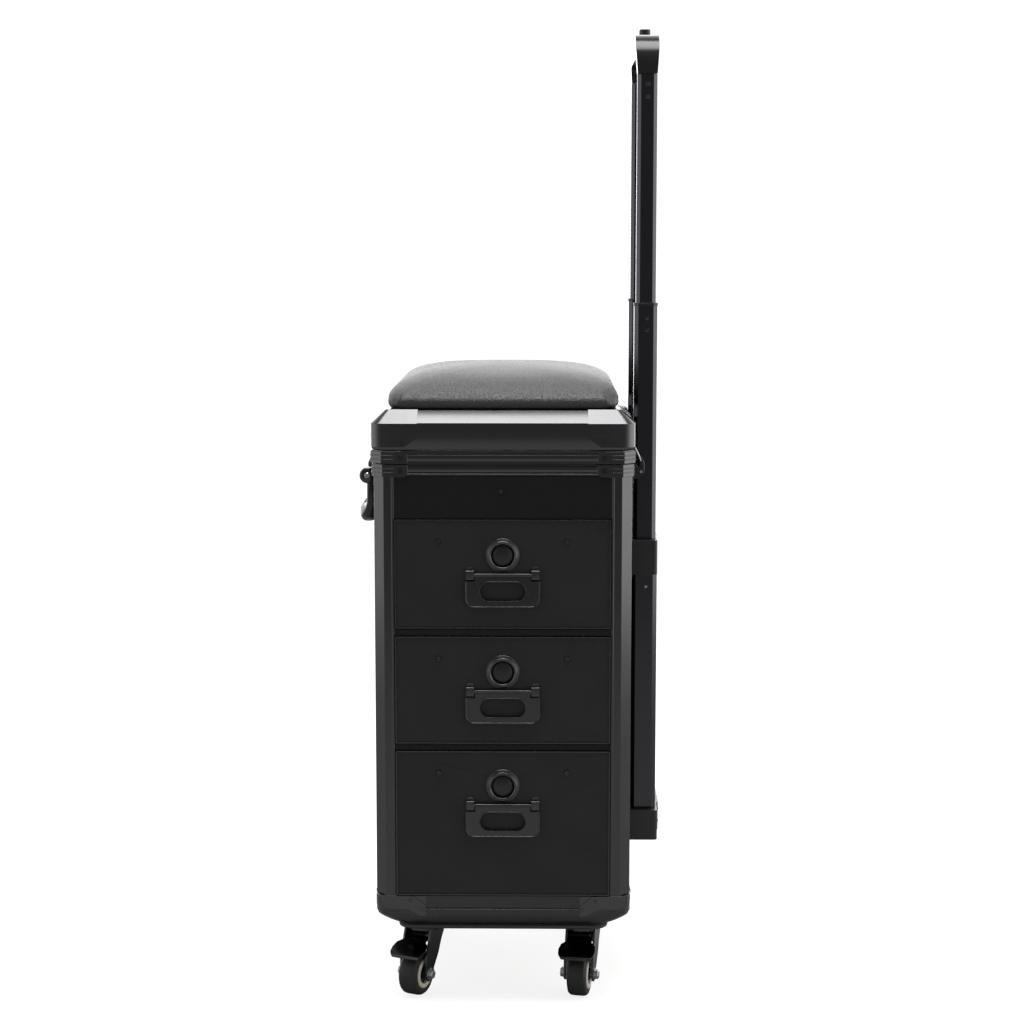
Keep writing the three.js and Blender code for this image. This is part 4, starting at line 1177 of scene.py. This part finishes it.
def make_caster(name, braked):
    """Swivel caster: plate and race, pressed fork, rubber tread on a pale core, axle bolt and pedal."""
    centre, turn = turn_of(name)
    axle_v, axle_z, radius = -20, 25, 25

    def set_in_place(*parts):
        return [moved(turned(part, turn, "Z"), centre.x, centre.y, 0) for part in parts]

    plate = prism(rounded(-27, -25, 27, 25, 5, 4), 83.3, 86, "z")
    race = [(0, 83.4), (15.5, 83.4), (18, 82), (19, 80.2), (18.2, 78.6), (16, 78.1), (0, 78.1)]
    race = lathe(race, (0, 0, 0), "z", 40)
    bolts = [((centre.x + u, centre.y + v, 83.3), (0, 0, -1)) for u in (-21, 21) for v in (-19, 19)]
    upper = [moved(part, centre.x, centre.y, 0) for part in (plate, race)]
    piece(f"caster_top_plate_{name}", upper, "hardware", "case", replaces=[f"caster_plate_{name}"], edge=0.4)
    fasteners(f"caster_bolts_{name}", bolts, "case", radius=3.4, height=2.4, sides=6, dimple=0.0,
              finish="zinc")

    crown = [(0, 77.7), (13, 77.7), (17, 77.4), (18.7, 76), (19, 74), (18.4, 71.6), (17, 70.7), (0, 70.7)]
    crown = lathe(crown, (0, 0, 0), "z", 40)
    cheek = [(16.5, 76.5), (-15.5, 76.5), (-18, 70), (-27.5, 41)]
    cheek += arc(axle_v, axle_z, 8.4, 165, 370, 12) + [(2, 44), (9, 58), (15, 66)]
    cheeks = [prism(cheek, *heights, "x") for heights in ((-17, -14.7), (14.7, 17))]
    housing = prism([(-4, 57), (8.5, 57), (12, 64), (13, 72.4), (-13, 72.4)], -15.2, 15.2, "x")
    bridge = prism([(-15, 72.2), (14, 72.2), (16.5, 76.5), (-15.5, 76.5)], -15.5, 15.5, "x")
    web = prism([(9.5, 58.5), (11.6, 57.8), (17.4, 66.4), (16.4, 73), (14.2, 73), (15, 66.8)], -15, 15, "x")
    kingpin = lathe([(0, 68.6), (3.4, 68.8), (4.6, 69.8), (4.8, 71), (0, 71)], (0, 0, 0), "z", 24)
    pressing = set_in_place(crown, *cheeks, housing, bridge, web, kingpin)
    piece(f"fork_{name}_pressing", pressing, "hardware", f"fork_{name}", replaces=[f"caster_fork_{name}"],
          edge=0.45)

    hub = (0, axle_v, axle_z)
    tread = [(16.7, -10.3), (20.6, -11.0), (23, -10.3), (24.5, -8.4), (radius, -5.6)]
    core = [(11.3, -8.4), (12, -11.6), (12.8, -12), (15.8, -12), (16.8, -11.2), (17, -10)]
    # The hub disc is black nylon, and its dark is also painted shade for the fork's shadow over the wheel
    # centre.
    disc = [(3.4, -12.8), (6.4, -12.8), (7, -12.2), (7.4, -9), (11.5, -8.2)]
    for kind, half_profile, sides, finish, replaced in (
        ("tread", tread, 72, "tread", [f"caster_wheel_{name}"]),
        ("core_ring", core, 64, "core", []),
        ("hub", disc, 48, "button", []),
    ):
        profile = half_profile + [(r, -w) for r, w in reversed(half_profile)]
        ring = lathe(profile, hub, "x", sides, looped=True)
        piece(f"{kind}_{name}", set_in_place(ring), finish, f"wheel_{name}", replaces=replaced)

    shaft = wire([(u, axle_v, axle_z) for u in (-21, 0, 20.6)], 2.9, 20)
    washers = [lathe([(3, w), (6.8, w), (6.8, w + 0.9), (3, w + 0.9)], hub, "x", 32, looped=True)
               for w in (-17.9, 17)]
    head = lathe([(0, 17.9), (5.2, 17.9), (5.6, 18.3), (5.6, 21.2), (4.9, 22), (0, 22)], hub, "x", 6)
    nut = lathe([(0, -17.9), (5.2, -17.9), (5.6, -18.3), (5.6, -21), (4.9, -21.8), (0, -21.8)], hub, "x", 6)
    piece(f"axle_bolt_{name}", set_in_place(shaft, *washers, head, nut), "zinc", f"fork_{name}", edge=0.25)

    if braked:
        path = [(-7, 67.8, 13), (-16, 66.4, 13.4), (-25, 63, 14.5), (-30, 60.8, 19.6), (-38, 57.4, 21),
                (-45, 54.2, 20), (-48, 51.8, 18), (-48.6, 49.2, 16.4)]
        rows = []
        for (v, z, half), ahead in zip(path, headings(path)):
            under = Vector((-ahead.y, ahead.x)) * 1.7
            rows.append([Vector((-half, v, z)), Vector((half, v, z)),
                         Vector((half, v + under.x, z + under.y)),
                         Vector((-half, v + under.x, z + under.y))])
        barrel = wire([(u, -12, 64) for u in (-14, 0, 14)], 2.6, 20)
        shoe = prism([(-25, 51.8), (-15, 52.4), (-12, 62), (-22, 60.5)], -8.5, 8.5, "x")
        lip = wire([(-16, -47.4, 49.6), (0, -47.9, 49.4), (16, -47.4, 49.6)], 1.2, 10)
        piece(f"pedal_{name}", set_in_place(loft(rows), barrel, shoe, lip), "hardware", f"brake_{name}",
              replaces=[f"caster_brake_{name}"], edge=0.4)
        turns = [(i / 36, math.pi * i / 4.5) for i in range(37)]
        coil = [(9 + 3.6 * share, -12 + 3.9 * math.cos(turn), 64 + 3.9 * math.sin(turn))
                for share, turn in turns]
        piece(f"pedal_spring_{name}", set_in_place(wire(coil, 0.55, 8)), "zinc", f"fork_{name}")


for caster, _, at_rear in CORNERS:
    make_caster(caster, braked=not at_rear)

# ---------------------------------------------------------------- seat cushion

FOAM_QUAD = 5 * MM
CLOTH_FRAMES = 20


def swollen(solid, held_below, cap):
    """Blows the closed solid up with cloth pressure, holding its foot, and returns the new mesh."""
    solid.transform(TO_ROW)
    source = loose_object(solid, "seat_foam")
    remesh = source.modifiers.new("even_quads", "REMESH")
    remesh.mode = "VOXEL"
    remesh.voxel_size = FOAM_QUAD
    shape = plain_mesh(source)
    bpy.data.objects.remove(source)
    skin = bpy.data.objects.new("seat_skin", shape)
    bpy.context.scene.collection.objects.link(skin)
    rest = [v.co.copy() for v in shape.vertices]
    held = skin.vertex_groups.new(name="held")
    held.add([i for i, co in enumerate(rest) if (TO_CASE @ co).z < held_below], 1.0, "REPLACE")
    cloth = skin.modifiers.new("leather_skin", "CLOTH")
    settings = cloth.settings
    settings.quality = 5
    settings.tension_stiffness = settings.compression_stiffness = 45
    settings.bending_stiffness = 30
    settings.use_pressure = True
    settings.uniform_pressure_force = 4
    settings.vertex_group_mass = "held"
    settings.effector_weights.gravity = 0
    scene = bpy.context.scene
    for step in range(1, CLOTH_FRAMES + 1):
        scene.frame_set(step)
    blown = skin.evaluated_get(bpy.context.evaluated_depsgraph_get()).data
    moved_to = [v.co.copy() for v in blown.vertices]
    skin.modifiers.remove(cloth)
    scene.frame_set(1)
    for vertex, start, end in zip(shape.vertices, rest, moved_to):
        travel = end - start
        if travel.length > cap * MM:
            travel *= cap * MM / travel.length
        vertex.co = start + travel
    bpy.data.objects.remove(skin)
    return shape


def cushion_start(low, high):
    """Foam block before it swells: a flat foot, an upright boxing and a low crown, waisted at mid-side."""
    centre = (low + high) / 2
    half_x, half_y = (high.x - low.x) / 2, (high.y - low.y) / 2
    levels = [(0, 4.6, 4.6, 14), (1.6, 2, 2, 17), (4.5, 0.4, 0.4, 19), (8.5, 0, 0.3, 21), (12, 0.2, 2, 23),
              (16, 1, 6.5, 25), (20, 3.4, 13, 27), (24, 8, 21, 29), (28, 14, 30.5, 31), (32, 23, 42, 34),
              (35.6, 34.5, 55, 36), (38.6, 50, 71, 36), (40.6, 70, 90, 34), (41.6, 94, 112, 20)]
    rows = []
    for up, inset_x, inset_y, corner in levels:
        x, y = half_x - inset_x, half_y - inset_y
        row = []
        for u, v in rounded(-x, -y, x, y, corner, 8):
            waist = 1.0 * min(up / 8, 1)
            u -= math.copysign(waist * max(0, 1 - (v / y) ** 2) if abs(u) > x - 1 else 0, u)
            v -= math.copysign(waist * max(0, 1 - (u / x) ** 2) if abs(v) > y - 1 else 0, v)
            row.append(Vector((centre.x + u, centre.y + v, low.z + up)))
        rows.append(row)
    return loft(rows)


def make_cushion():
    """Seat on the lid: leather pulled over foam, with a sewn dart near each end of its long sides."""
    low, high = span("seat_cushion")
    skin = swollen(cushion_start(low, high), low.z + 2.5, cap=4)
    if "sharp_edge" in skin.attributes:
        skin.attributes.remove(skin.attributes["sharp_edge"])
    for vertex in skin.vertices:
        place = TO_CASE @ vertex.co
        place.z = max(place.z, low.z + 0.1)
        vertex.co = TO_ROW @ place
    skin.shade_smooth()
    cushion = bpy.data.objects.new("seat_cushion_leather", skin)
    bpy.context.scene.collection.objects.link(cushion)
    dress(cushion, "leather", "lid", ["seat_cushion"])
    smooth = cushion.modifiers.new("soften", "SUBSURF")
    smooth.levels = smooth.render_levels = 1
    surface = BVHTree.FromObject(cushion, bpy.context.evaluated_depsgraph_get())
    darts, spots = [], []
    for sign in (-1, 1):
        for facing in (-1, 1):
            path = []
            for i in range(9):
                z = low.z + 2 + 1.9 * i
                x = sign * (111.5 - 0.14 * (z - low.z))
                start = TO_ROW @ Vector((x, MID_Y + facing * 220, z))
                hit = surface.ray_cast(start, Vector((0, -facing, 0)))[0]
                if hit and abs((TO_CASE @ hit).y - MID_Y) > 130:
                    path.append(TO_CASE @ hit + Vector((0, -facing * 0.15, 0)))
            if len(path) > 2:
                darts.append(wire(path, 0.55, 8))
                spots += [((p.x + sign * 1.6, p.y + facing * 0.25, p.z), (0, facing, 0)) for p in path[1:-1]]
    piece("cushion_dart_seams", darts, "leather", "lid")
    fasteners("cushion_dart_stitches", spots, "lid", radius=0.5, height=0.45, sides=8, dimple=0.0,
              finish="leather")


make_cushion()
